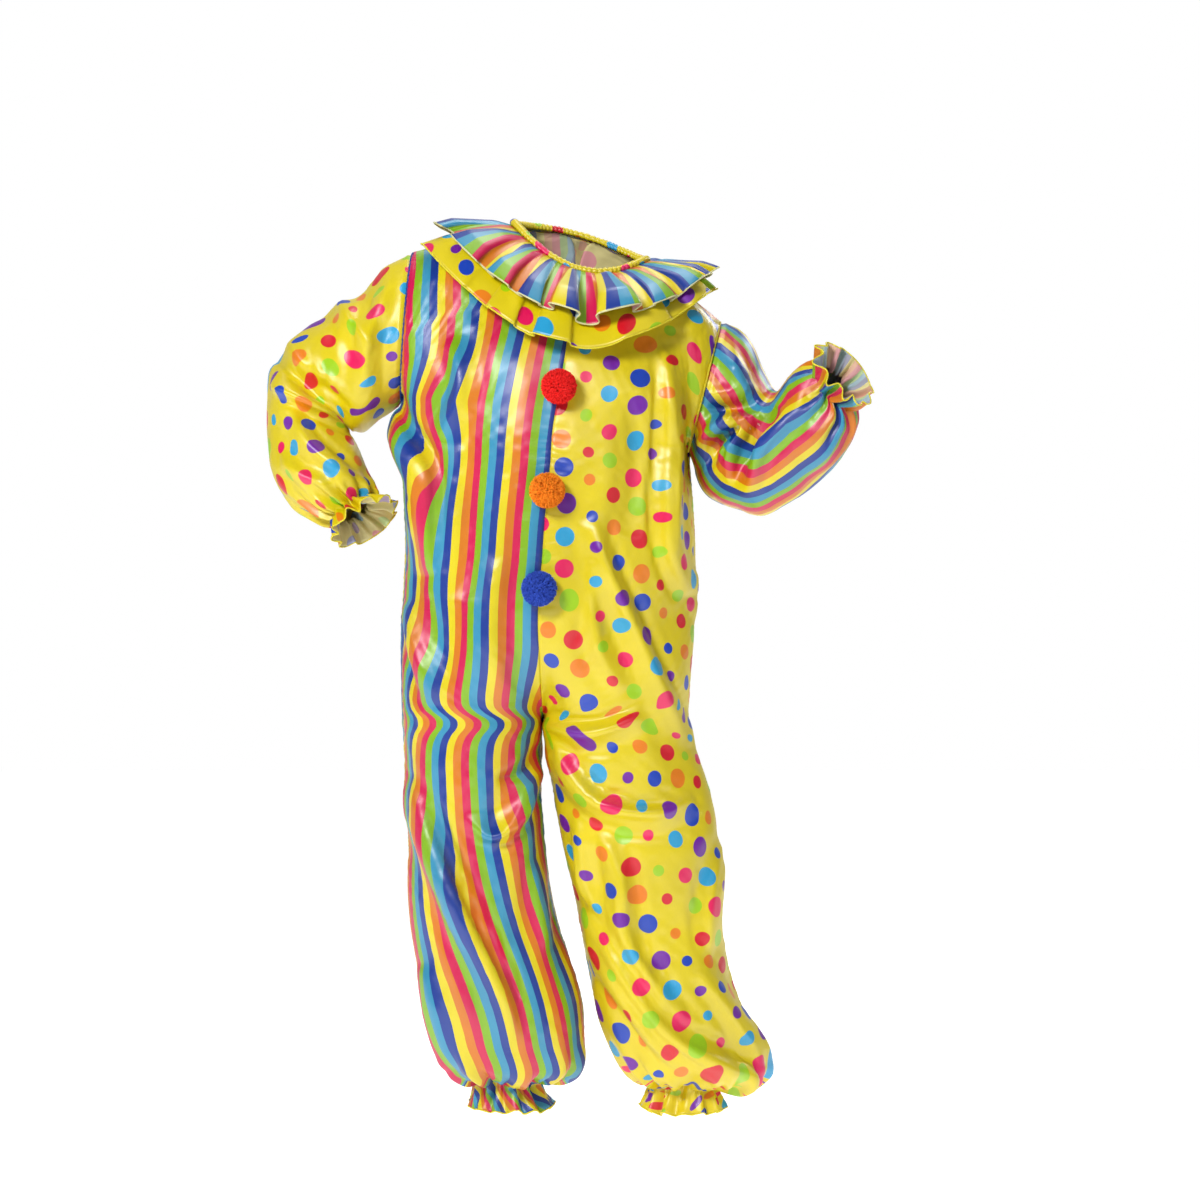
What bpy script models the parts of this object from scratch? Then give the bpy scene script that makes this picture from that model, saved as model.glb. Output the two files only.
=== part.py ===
"""A clown's jumpsuit in printed satin, filled out as it is worn but with nobody inside.

A front and a back for each side run from the shoulder to the frilled ankle, with two sleeves, a bound
neck, two gathered ruffles on it and three pompoms down the front seam. Metres, +Z up. The wearer faces
-Y and +X is the wearer's left. The origin is where the neck and shoulders carry the suit.
"""

import math
from collections import namedtuple

import bpy
from mathutils import Matrix, Vector
from mathutils.bvhtree import BVHTree

RIGHT, LEFT = -1, 1
FRONT, BACK = -1, 1
SIDE_NAMES = {RIGHT: "right", LEFT: "left"}
FACE_NAMES = {FRONT: "front", BACK: "back"}

CLOTH = 0.0012  # thickness of the satin with its turned seams
MIDDLE_SEAM = 0.0004  # how far each panel stands back from the line of its seam
SIDE_SEAM = 0.0007
ARMHOLE_SEAM = 0.0013
ROUNDNESS = 0.88  # power on sine and cosine: under 1 fills out the corners of an ellipse

PANEL_STEPS = 8
YOKE_STEPS = 6
NECK_SHARE = 0.45  # share of the yoke's inner edge that is front seam, below the neckline
CHEST_SWELL = 0.022
CROTCH_STEPS = 5
CROTCH_EASE = 1.2  # over 1 starts the turn under the body more gently
SLEEVE_STEPS = 18

# The torso's rings. tilt is the slope of a ring across the body, because the right shoulder is raised.
TorsoRing = namedtuple("TorsoRing", "z x_right x_seam x_left y_front y_side y_back tilt")
TORSO = [
    TorsoRing(-0.2963, -0.2937, -0.041, 0.178, -0.185, 0.0, 0.150, -0.1675),
    TorsoRing(-0.360, -0.300, -0.046, 0.184, -0.190, 0.0, 0.148, -0.120),
    TorsoRing(-0.440, -0.288, -0.054, 0.190, -0.188, 0.0, 0.146, -0.080),
    TorsoRing(-0.520, -0.285, -0.060, 0.191, -0.184, 0.0, 0.150, -0.040),
    TorsoRing(-0.575, -0.291, -0.065, 0.190, -0.180, 0.0, 0.158, -0.010),
    TorsoRing(-0.620, -0.296, -0.066, 0.188, -0.174, 0.0, 0.164, 0.0),
]
CROTCH = TorsoRing(-0.772, -0.294, -0.060, 0.178, -0.148, 0.004, 0.158, 0.0)

# Each leg's rings, from the thigh to the foot of the frill. wave is how far the gathers stand in and out.
LegRing = namedtuple("LegRing", "z x_outer x_inner y_mid half_depth wave")
LEGS = {
    RIGHT: [
        LegRing(-0.800, -0.291, -0.0640, 0.005, 0.151, 0.0),
        LegRing(-0.840, -0.288, -0.0640, 0.006, 0.149, 0.0),
        LegRing(-0.880, -0.286, -0.0640, 0.007, 0.147, 0.0),
        LegRing(-0.920, -0.285, -0.0635, 0.008, 0.145, 0.0),
        LegRing(-0.960, -0.284, -0.0605, 0.009, 0.143, 0.0),
        LegRing(-1.000, -0.283, -0.0560, 0.010, 0.141, 0.0),
        LegRing(-1.040, -0.281, -0.0500, 0.011, 0.139, 0.0),
        LegRing(-1.080, -0.279, -0.0440, 0.012, 0.137, 0.0),
        LegRing(-1.120, -0.276, -0.0335, 0.013, 0.136, 0.0),
        LegRing(-1.160, -0.271, -0.0210, 0.014, 0.136, 0.0),
        LegRing(-1.200, -0.266, -0.0080, 0.014, 0.136, 0.0),
        LegRing(-1.245, -0.258, 0.0040, 0.014, 0.136, 0.0),
        LegRing(-1.300, -0.245, 0.0090, 0.014, 0.132, 0.0),
        LegRing(-1.342, -0.224, 0.0030, 0.016, 0.120, 0.0),
        LegRing(-1.366, -0.192, -0.0270, 0.018, 0.092, 0.0025),
        LegRing(-1.372, -0.170, -0.0700, 0.022, 0.060, 0.003),
        LegRing(-1.392, -0.176, -0.0600, 0.022, 0.062, 0.004),
        LegRing(-1.414, -0.184, -0.0440, 0.022, 0.072, 0.006),
    ],
    LEFT: [
        LegRing(-0.800, 0.182, -0.0565, 0.005, 0.151, 0.0),
        LegRing(-0.840, 0.194, -0.0540, 0.006, 0.149, 0.0),
        LegRing(-0.880, 0.208, -0.0470, 0.007, 0.147, 0.0),
        LegRing(-0.920, 0.219, -0.0390, 0.008, 0.145, 0.0),
        LegRing(-0.960, 0.226, -0.0320, 0.009, 0.143, 0.0),
        LegRing(-1.000, 0.229, -0.0240, 0.010, 0.141, 0.0),
        LegRing(-1.040, 0.231, -0.0150, 0.011, 0.139, 0.0),
        LegRing(-1.080, 0.233, -0.0060, 0.012, 0.137, 0.0),
        LegRing(-1.120, 0.235, 0.0010, 0.013, 0.136, 0.0),
        LegRing(-1.160, 0.240, 0.0080, 0.014, 0.136, 0.0),
        LegRing(-1.200, 0.249, 0.0150, 0.015, 0.136, 0.0),
        LegRing(-1.245, 0.265, 0.0250, 0.016, 0.136, 0.0),
        LegRing(-1.300, 0.291, 0.0410, 0.018, 0.132, 0.0),
        LegRing(-1.347, 0.307, 0.0700, 0.018, 0.118, 0.0),
        LegRing(-1.371, 0.292, 0.0980, 0.020, 0.090, 0.0025),
        LegRing(-1.378, 0.226, 0.1220, 0.022, 0.058, 0.003),
        LegRing(-1.397, 0.228, 0.1170, 0.022, 0.060, 0.004),
        LegRing(-1.419, 0.236, 0.1080, 0.022, 0.070, 0.006),
    ],
}
LEG_GATHERS = 8
ANKLE_ROWS = 5

# A sleeve ring is given by its two ends in the front view, its place and reach in depth, and turn, the
# degrees by which it turns to open towards the front.
ArmRing = namedtuple("ArmRing", "x_top z_top x_bottom z_bottom y_mid half_depth turn wave")
SLEEVES = {
    RIGHT: [
        ArmRing(-0.2747, -0.0033, -0.2937, -0.2540, 0.000, 0.095, 0, 0.0),
        ArmRing(-0.3200, -0.0350, -0.3280, -0.2760, 0.004, 0.098, 0, 0.0),
        ArmRing(-0.3660, -0.0740, -0.3560, -0.3000, 0.012, 0.098, 0, 0.0),
        ArmRing(-0.4140, -0.1020, -0.3730, -0.2980, 0.020, 0.095, 0, 0.0),
        ArmRing(-0.4640, -0.1360, -0.3800, -0.2935, 0.026, 0.091, 0, 0.0),
        ArmRing(-0.5130, -0.2010, -0.3820, -0.2950, 0.027, 0.088, 0, 0.0),
        ArmRing(-0.5170, -0.2580, -0.3800, -0.3020, 0.022, 0.086, 3, 0.0),
        ArmRing(-0.5120, -0.3150, -0.3720, -0.3180, 0.010, 0.084, 8, 0.0),
        ArmRing(-0.5050, -0.3640, -0.3590, -0.3440, -0.006, 0.080, 12, 0.0),
        ArmRing(-0.4870, -0.4030, -0.3450, -0.3720, -0.024, 0.072, 16, 0.0),
        ArmRing(-0.4600, -0.4310, -0.3350, -0.3950, -0.040, 0.060, 20, 0.0),
        ArmRing(-0.4270, -0.4470, -0.3320, -0.4070, -0.050, 0.046, 22, 0.002),
        ArmRing(-0.3970, -0.4500, -0.3370, -0.4140, -0.057, 0.034, 24, 0.002),
        ArmRing(-0.3960, -0.4660, -0.3210, -0.4130, -0.064, 0.042, 26, 0.004),
        ArmRing(-0.3930, -0.4840, -0.3020, -0.4180, -0.072, 0.052, 28, 0.006),
    ],
    LEFT: [
        ArmRing(0.2310, -0.1170, 0.1780, -0.3330, 0.000, 0.090, 0, 0.0),
        ArmRing(0.2650, -0.1380, 0.1880, -0.3580, -0.004, 0.094, 0, 0.0),
        ArmRing(0.2900, -0.1710, 0.1960, -0.3820, -0.010, 0.094, 0, 0.0),
        ArmRing(0.3080, -0.2050, 0.2120, -0.4060, -0.020, 0.092, 4, 0.0),
        ArmRing(0.3180, -0.2300, 0.2380, -0.4240, -0.034, 0.090, 8, 0.0),
        ArmRing(0.3250, -0.2330, 0.2740, -0.4330, -0.050, 0.088, 12, 0.0),
        ArmRing(0.3320, -0.2270, 0.3110, -0.4310, -0.066, 0.085, 16, 0.0),
        ArmRing(0.3420, -0.2180, 0.3480, -0.4120, -0.084, 0.081, 20, 0.0),
        ArmRing(0.3530, -0.2090, 0.3840, -0.3880, -0.102, 0.076, 24, 0.0),
        ArmRing(0.3630, -0.2030, 0.4130, -0.3570, -0.120, 0.068, 28, 0.0),
        ArmRing(0.3730, -0.1990, 0.4320, -0.3220, -0.136, 0.056, 32, 0.0),
        ArmRing(0.3810, -0.2000, 0.4380, -0.2920, -0.148, 0.044, 34, 0.002),
        ArmRing(0.3860, -0.2070, 0.4260, -0.2660, -0.156, 0.036, 36, 0.002),
        ArmRing(0.3860, -0.1890, 0.4440, -0.2680, -0.166, 0.044, 36, 0.004),
        ArmRing(0.3870, -0.1730, 0.4600, -0.2620, -0.176, 0.054, 36, 0.006),
    ],
}
SLEEVE_GATHERS = 9

# The neck opening, lower at the front and on the wearer's left.
NECK_HALF_WIDTH = 0.109
NECK_FRONT_DEPTH = 0.095
NECK_BACK_DEPTH = 0.085
NECK_LIFT = 0.0105
NECK_SIDE_DROP = 0.0305
NECK_FRONT_DIP = 0.056
NECK_BACK_RISE = 0.020
BINDING_RADIUS = 0.0045
BINDING_POINTS = 40
NECK_EDGE_OUT = 0.0075
PANEL_EDGE_DROP = 0.004

# Each ruffle's outer edge, as an ellipse round the neck that drops at its side, front and back.
RuffleEdge = namedtuple("RuffleEdge", "x_mid half_width y_front y_back z_side side_drop front_drop back_drop")
RUFFLE_EDGES = {
    "ruffle_dotted": RuffleEdge(-0.016, 0.225, 0.205, 0.180, -0.036, 0.034, 0.129, 0.030),
    "ruffle_striped": RuffleEdge(-0.005, 0.203, 0.190, 0.158, -0.010, 0.038, 0.114, 0.022),
}
# How each ruffle leaves the neck, its waves, and its gap to what it lies on.
Ruffle = namedtuple("Ruffle", "name rise waves wave clearance colour")
RUFFLES = [
    Ruffle("ruffle_dotted", 0.0015, 13, 0.006, 0.009, (0.93, 0.80, 0.10)),
    Ruffle("ruffle_striped", 0.0065, 24, 0.009, 0.006, (0.90, 0.30, 0.42)),
]
RUFFLE_POINTS = 96
RUFFLE_ROWS = 2
RUFFLE_ARCH = 0.010

# The pompoms, sewn on the front seam at these heights.
Pompom = namedtuple("Pompom", "name z colour")
POMPOMS = [
    Pompom("pompom_red", -0.2425, (0.85, 0.03, 0.03)),
    Pompom("pompom_orange", -0.404, (0.95, 0.38, 0.02)),
    Pompom("pompom_blue", -0.558, (0.10, 0.18, 0.70)),
]
POMPOM_RADIUS = 0.0285
POMPOM_BACK = 0.72  # share of its radius at which the cloth flattens its back
POMPOM_GAP = 0.0015

# The largest folds, as ridges on the panels seen from the front or the back. bend bows the line sideways.
Fold = namedtuple("Fold", "x0 z0 x1 z1 bend width height")
FOLDS = {
    (RIGHT, FRONT): [
        Fold(-0.262, -0.190, -0.215, -0.520, 0.015, 0.036, 0.018),
        Fold(-0.180, -0.260, -0.165, -0.600, -0.008, 0.038, -0.011),
        Fold(-0.110, -0.180, -0.125, -0.480, 0.006, 0.036, 0.009),
        Fold(-0.245, -0.860, -0.080, -1.330, 0.010, 0.036, 0.018),
        Fold(-0.175, -0.840, -0.040, -1.240, 0.012, 0.036, -0.012),
        Fold(-0.110, -0.760, -0.200, -1.040, -0.012, 0.036, 0.012),
    ],
    (LEFT, FRONT): [
        Fold(0.095, -0.220, 0.105, -0.660, 0.010, 0.036, 0.016),
        Fold(0.000, -0.480, 0.165, -0.800, 0.020, 0.038, 0.016),
        Fold(-0.040, -0.760, 0.170, -0.900, 0.012, 0.036, 0.014),
        Fold(-0.020, -0.840, 0.070, -1.100, 0.010, 0.036, -0.011),
        Fold(0.030, -1.010, 0.240, -1.340, -0.012, 0.036, 0.019),
        Fold(0.020, -1.140, 0.160, -1.350, -0.010, 0.036, -0.011),
    ],
    (RIGHT, BACK): [
        Fold(-0.200, -0.230, -0.170, -0.620, 0.015, 0.038, 0.016),
        Fold(-0.110, -0.300, -0.130, -0.720, -0.010, 0.038, -0.012),
        Fold(-0.090, -0.800, -0.230, -1.060, 0.015, 0.036, 0.015),
        Fold(-0.210, -1.040, -0.090, -1.330, 0.010, 0.038, 0.016),
    ],
    (LEFT, BACK): [
        Fold(0.105, -0.250, 0.090, -0.640, -0.012, 0.038, 0.016),
        Fold(0.010, -0.360, 0.035, -0.740, 0.010, 0.038, -0.012),
        Fold(-0.010, -0.800, 0.170, -1.010, -0.015, 0.036, 0.015),
        Fold(0.070, -1.060, 0.240, -1.340, 0.010, 0.038, 0.016),
    ],
}

STRIPED = (0.25, 0.45, 0.75)
DOTTED = (0.93, 0.80, 0.10)
SATIN_ROUGHNESS = 0.3
POMPOM_ROUGHNESS = 1.0


def clear_scene():
    for obj in list(bpy.data.objects):
        bpy.data.objects.remove(obj)


def material(name, colour, roughness):
    mat = bpy.data.materials.new(name)
    mat.use_nodes = True
    shader = mat.node_tree.nodes["Principled BSDF"]
    shader.inputs["Base Color"].default_value = (*colour, 1.0)
    shader.inputs["Roughness"].default_value = roughness
    shader.inputs["Metallic"].default_value = 0.0
    return mat


def link(obj, colour, roughness, collection):
    obj.data.materials.append(material(obj.name, colour, roughness))
    collection.objects.link(obj)
    return obj


def eased(angle):
    """Sine and cosine of an angle, with the corners of their ellipse filled out."""
    sine, cosine = math.sin(angle), math.cos(angle)
    return (
        math.copysign(abs(sine) ** ROUNDNESS, sine),
        math.copysign(abs(cosine) ** ROUNDNESS, cosine),
    )


def mix_rings(first, second, share):
    return type(first)(*(a + (b - a) * share for a, b in zip(first, second)))


def neck_point(angle, out=0.0, up=0.0):
    """A point round the neck opening: angle 0 is its front and a quarter turn is the wearer's left."""
    sine, cosine = math.sin(angle), math.cos(angle)
    depth = NECK_FRONT_DEPTH if cosine > 0 else NECK_BACK_DEPTH
    slope = -NECK_FRONT_DIP if cosine > 0 else NECK_BACK_RISE
    z = NECK_LIFT - NECK_SIDE_DROP * sine + slope * cosine * cosine
    return Vector(((NECK_HALF_WIDTH + out) * sine, -(depth + out) * cosine, z + up))


def armhole_point(side, face, share):
    """The armhole's edge: share 0 is the underarm and 1 is the tip of the shoulder."""
    ring = SLEEVES[side][0]
    angle = math.pi * share
    climb = (1 - math.cos(angle)) / 2
    return Vector((
        ring.x_bottom + (ring.x_top - ring.x_bottom) * climb,
        ring.y_mid + face * ring.half_depth * math.sin(angle),
        ring.z_bottom + (ring.z_top - ring.z_bottom) * climb,
    ))


def torso_point(ring, side, face, share, rise=0.0):
    """A point on a torso ring. share runs from the middle seam to the side seam.

    rise is the angle by which the crotch seam has turned under, from 0 above the crotch to a quarter turn.
    """
    width = ring.x_left - ring.x_seam if side == LEFT else ring.x_seam - ring.x_right
    depth = ring.y_side - ring.y_front if face == FRONT else ring.y_back - ring.y_side
    under = eased(rise)[0]
    radius = width / (1 + under)
    across, forward = eased(-rise + (math.pi / 2 + rise) * share)
    x = ring.x_seam + side * radius * (under + across)
    y = ring.y_side + face * depth * forward
    return Vector((x, y, ring.z + ring.tilt * (x - ring.x_seam)))


def leg_point(ring, side, face, share):
    """A point on a leg ring. share runs from the inside leg seam to the side seam."""
    angle = math.pi * (share - 0.5)
    across, forward = eased(angle)
    middle = (ring.x_outer + ring.x_inner) / 2
    gather = ring.wave * math.cos(LEG_GATHERS * angle)
    half_width = abs(ring.x_outer - ring.x_inner) / 2 + gather
    return Vector((
        middle + side * half_width * across,
        ring.y_mid + face * (ring.half_depth + gather) * forward,
        ring.z,
    ))


def yoke_inner(side, face, share):
    """The yoke's inner edge: up the middle seam to the neck, then round the neckline to its side."""
    foot = torso_point(TORSO[0], side, face, 0.0)
    if share < NECK_SHARE:
        climb = share / NECK_SHARE
        top = neck_point(0.0 if face == FRONT else math.pi, NECK_EDGE_OUT, -PANEL_EDGE_DROP)
        swell = Vector((0.0, face * CHEST_SWELL * math.sin(math.pi * climb), 0.0))
        return foot.lerp(top, climb) + swell
    turn = (share - NECK_SHARE) / (1 - NECK_SHARE) * math.pi / 2
    angle = side * turn if face == FRONT else math.pi - side * turn
    return neck_point(angle, NECK_EDGE_OUT, -PANEL_EDGE_DROP)


def yoke_point(side, face, across, climb):
    """The chest and shoulder, filled in between the underarm ring, middle, shoulder seam and armhole."""
    low = torso_point(TORSO[0], side, face, across)
    neck, tip = yoke_inner(side, face, 1.0), armhole_point(side, face, 1.0)
    high = neck.lerp(tip, across)
    inner, outer = yoke_inner(side, face, climb), armhole_point(side, face, climb)
    low_inner = torso_point(TORSO[0], side, face, 0.0)
    low_outer = torso_point(TORSO[0], side, face, 1.0)
    corners = low_inner.lerp(low_outer, across).lerp(high, climb)
    return low.lerp(high, climb) + inner.lerp(outer, across) - corners


def fold_height(folds, x, z):
    """How far the folds push the cloth out at a place in the front view."""
    total = 0.0
    for fold in folds:
        start, end = Vector((fold.x0, fold.z0)), Vector((fold.x1, fold.z1))
        along = end - start
        side = Vector((-along.y, along.x)).normalized()
        spot = Vector((x, z)) - start
        share = spot.dot(along) / along.length_squared
        if not 0.0 < share < 1.0:
            continue
        fade = math.sin(math.pi * share)
        off = spot.dot(side) - fold.bend * fade
        total += fold.height * fade * math.exp(-((off / fold.width) ** 2))
    return total


def evened(grid, first, last, split):
    """The grid with its rows from first to last drawn towards their neighbours.

    Above the row where the legs split, the middle seam stays where it is, because two panels meet on it.
    """
    even = [list(row) for row in grid]
    for row in range(first, last):
        for i in range(1 if row < split else 0, len(grid[row])):
            even[row][i] = grid[row][i] / 2 + (grid[row - 1][i] + grid[row + 1][i]) / 4
    return even


def panel_grid(side, face):
    """The rows of one panel, from the shoulder seam down to the foot of the ankle frill."""
    shares = [i / PANEL_STEPS for i in range(PANEL_STEPS + 1)]
    grid = [
        [yoke_point(side, face, share, 1 - row / YOKE_STEPS) for share in shares]
        for row in range(YOKE_STEPS)
    ]
    grid += [[torso_point(ring, side, face, share) for share in shares] for ring in TORSO]
    for step in range(1, CROTCH_STEPS + 1):
        rise = math.pi / 2 * (step / CROTCH_STEPS) ** CROTCH_EASE
        inner = mix_rings(TORSO[-1], CROTCH, math.sin(rise))
        outer = mix_rings(TORSO[-1], CROTCH, step / CROTCH_STEPS)
        row = []
        for share in shares:
            near = torso_point(inner, side, face, share, rise)
            far = torso_point(outer, side, face, share, rise)
            row.append(near.lerp(far, share))
        grid.append(row)
    grid += [[leg_point(ring, side, face, share) for share in shares] for ring in LEGS[side]]
    waist = YOKE_STEPS + len(TORSO) + CROTCH_STEPS
    return evened(grid, YOKE_STEPS + 1, len(grid) - ANKLE_ROWS, waist)


def sleeve_grid(side):
    """The rings of one sleeve, from the armhole to the edge of the cuff frill."""
    grid = []
    for ring in SLEEVES[side]:
        top = Vector((ring.x_top, ring.y_mid, ring.z_top))
        bottom = Vector((ring.x_bottom, ring.y_mid, ring.z_bottom))
        middle, reach = (top + bottom) / 2, (top - bottom) / 2
        onward = Vector((-side * reach.z, 0.0, side * reach.x)).normalized() * -1
        turn = math.radians(ring.turn)
        forward = Vector((0.0, -math.cos(turn), 0.0)) - onward * math.sin(turn)
        row = []
        for i in range(SLEEVE_STEPS):
            angle = 2 * math.pi * i / SLEEVE_STEPS
            gather = ring.wave * math.cos(SLEEVE_GATHERS * angle)
            up = reach * (1 + gather / reach.length)
            ahead = forward * (ring.half_depth + gather)
            row.append(middle + up * math.cos(angle) + ahead * math.sin(angle))
        grid.append(row)
    return grid


def ruffle_grid(ruffle, trees):
    """The rings of one ruffle, from the neck to its edge, pushed clear of what it lies on."""
    grid = []
    foot = RUFFLE_EDGES[ruffle.name]
    for row in range(RUFFLE_ROWS + 1):
        reach = row / RUFFLE_ROWS
        ring = []
        for i in range(RUFFLE_POINTS):
            angle = 2 * math.pi * i / RUFFLE_POINTS
            sine, cosine = math.sin(angle), math.cos(angle)
            depth = foot.y_front if cosine > 0 else foot.y_back
            drop = foot.front_drop if cosine > 0 else foot.back_drop
            z = foot.z_side - foot.side_drop * sine - drop * cosine * cosine
            edge = Vector((foot.x_mid + foot.half_width * sine, -depth * cosine, z))
            spot = neck_point(angle, NECK_EDGE_OUT, ruffle.rise).lerp(edge, reach)
            arch = RUFFLE_ARCH * math.sin(math.pi * reach)
            wave = ruffle.wave * reach * math.cos(ruffle.waves * angle)
            outward = Vector((0.6 * sine, -0.6 * cosine, 0.8))
            ring.append(rested(spot + outward * (arch + wave), trees, ruffle.clearance if row else 0.0))
        grid.append(ring)
    return grid


def rested(spot, trees, clearance):
    """The spot, moved out until it is clear of each surface."""
    if clearance:
        for tree in trees:
            place, normal, _, _ = tree.find_nearest(spot)
            height = (spot - place).dot(normal)
            if height < clearance:
                spot = spot + normal * (clearance - height)
    return spot


def faces_of(grid, closed, flip):
    """The triangles of a grid of points, closed round its rows or open, facing out.

    Each cell is folded along its shorter diagonal, so that slanted rows still make a smooth surface.
    """
    count = len(grid[0])
    spans = count if closed else count - 1
    faces = []
    for row in range(len(grid) - 1):
        for i in range(spans):
            j = (i + 1) % count
            above, below = grid[row], grid[row + 1]
            a, b, c, d = row * count + i, row * count + j, (row + 1) * count + j, (row + 1) * count + i
            if (above[i] - below[j]).length < (above[j] - below[i]).length:
                halves = [[a, b, c], [a, c, d]]
            else:
                halves = [[a, b, d], [b, c, d]]
            faces += [half[::-1] if flip else half for half in halves]
    return faces


def tree_of(grids):
    """A surface to rest other pieces on, from (grid, closed, flip) of each of its pieces."""
    points, faces = [], []
    for grid, closed, flip in grids:
        first = len(points)
        points += [spot for row in grid for spot in row]
        faces += [[first + corner for corner in face] for face in faces_of(grid, closed, flip)]
    return BVHTree.FromPolygons(points, faces)


def cloth(name, grid, closed, flip, colour, collection):
    """A shell of cloth whose outer face is the grid."""
    mesh = bpy.data.meshes.new(name)
    mesh.from_pydata([spot for row in grid for spot in row], [], faces_of(grid, closed, flip))
    obj = link(bpy.data.objects.new(name, mesh), colour, SATIN_ROUGHNESS, collection)
    wall = obj.modifiers.new("wall", "SOLIDIFY")
    wall.thickness = CLOTH
    wall.offset = -1.0
    mesh.shade_smooth()
    return obj


def panel_is_flipped(side, face):
    return side * face < 0


def build_panels(collection):
    """The four long panels. Returns their outer surface, for the ruffles to rest on."""
    surface = []
    for side in (RIGHT, LEFT):
        for face in (FRONT, BACK):
            grid = panel_grid(side, face)
            flip = panel_is_flipped(side, face)
            for row in grid:
                for i, spot in enumerate(row):
                    share = i / PANEL_STEPS
                    fade = min(1.0, 5 * share * (1 - share))
                    push = fade * fold_height(FOLDS[side, face], spot.x, spot.z)
                    row[i] = spot + Vector((side * MIDDLE_SEAM, face * (SIDE_SEAM + push), 0.0))
            surface.append((grid, False, flip))
            colour = STRIPED if side == RIGHT else DOTTED
            cloth(f"{FACE_NAMES[face]}_{SIDE_NAMES[side]}", grid, False, flip, colour, collection)
    return tree_of(surface)


def build_sleeves(collection):
    for side in (RIGHT, LEFT):
        grid = sleeve_grid(side)
        grid = [[spot + Vector((side * ARMHOLE_SEAM, 0.0, 0.0)) for spot in row] for row in grid]
        colour = DOTTED if side == RIGHT else STRIPED
        cloth(f"sleeve_{SIDE_NAMES[side]}", grid, True, side == RIGHT, colour, collection)


def build_collar(body, collection):
    """The two ruffles, each resting on what is below it, and the binding that holds them at the neck."""
    trees = [body]
    for ruffle in RUFFLES:
        grid = ruffle_grid(ruffle, trees)
        trees.append(tree_of([(grid, True, True)]))
        cloth(ruffle.name, grid, True, True, ruffle.colour, collection)
    curve = bpy.data.curves.new("neck_binding", "CURVE")
    curve.dimensions = "3D"
    curve.bevel_depth = BINDING_RADIUS
    curve.bevel_resolution = 1
    line = curve.splines.new("POLY")
    line.points.add(BINDING_POINTS - 1)
    for i, point in enumerate(line.points):
        point.co = (*neck_point(2 * math.pi * i / BINDING_POINTS), 1.0)
    line.use_cyclic_u = True
    link(bpy.data.objects.new("neck_binding", curve), DOTTED, SATIN_ROUGHNESS, collection)


def front_seam(z):
    """Where the front seam is at a height, and the slope of the cloth there, from the two rows around it."""
    rows = [yoke_inner(RIGHT, FRONT, NECK_SHARE * i / YOKE_STEPS) for i in range(YOKE_STEPS, -1, -1)]
    rows += [torso_point(ring, RIGHT, FRONT, 0.0) for ring in TORSO[1:]]
    for above, below in zip(rows, rows[1:]):
        if below.z <= z <= above.z:
            share = (above.z - z) / (above.z - below.z)
            return above.lerp(below, share), (above - below).normalized()
    raise ValueError(f"the front seam doesn't reach {z}")


def build_pompoms(collection):
    """Round pompoms, flattened at the back where they sit on the seam."""
    for pompom in POMPOMS:
        seam, upward = front_seam(pompom.z)
        outward = Vector((0.0, -upward.z, upward.y)).normalized()
        bpy.ops.mesh.primitive_ico_sphere_add(subdivisions=3, radius=POMPOM_RADIUS)
        obj = bpy.context.object
        obj.name = obj.data.name = pompom.name
        back = -POMPOM_BACK * POMPOM_RADIUS
        for vertex in obj.data.vertices:
            vertex.co.z = max(vertex.co.z, back)
        turn = Vector((0.0, 0.0, 1.0)).rotation_difference(outward).to_matrix().to_4x4()
        obj.matrix_world = Matrix.Translation(seam + outward * (POMPOM_GAP - back)) @ turn
        for found in list(obj.users_collection):
            found.objects.unlink(obj)
        link(obj, pompom.colour, POMPOM_ROUGHNESS, collection)


def main():
    clear_scene()
    jumpsuit = bpy.data.collections.new("clown_jumpsuit")
    bpy.context.scene.collection.children.link(jumpsuit)
    body = build_panels(jumpsuit)
    build_sleeves(jumpsuit)
    build_collar(body, jumpsuit)
    build_pompoms(jumpsuit)


main()
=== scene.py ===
"""A clown's jumpsuit in printed satin, worn but with nobody inside: its cloth, trims, pompoms and studio.

Metres, +Z up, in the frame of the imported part. The wearer faces -Y and +X is the wearer's left.
"""

import math
from collections import namedtuple

import bpy
import numpy as np
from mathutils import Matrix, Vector
from mathutils.bvhtree import BVHTree


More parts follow.
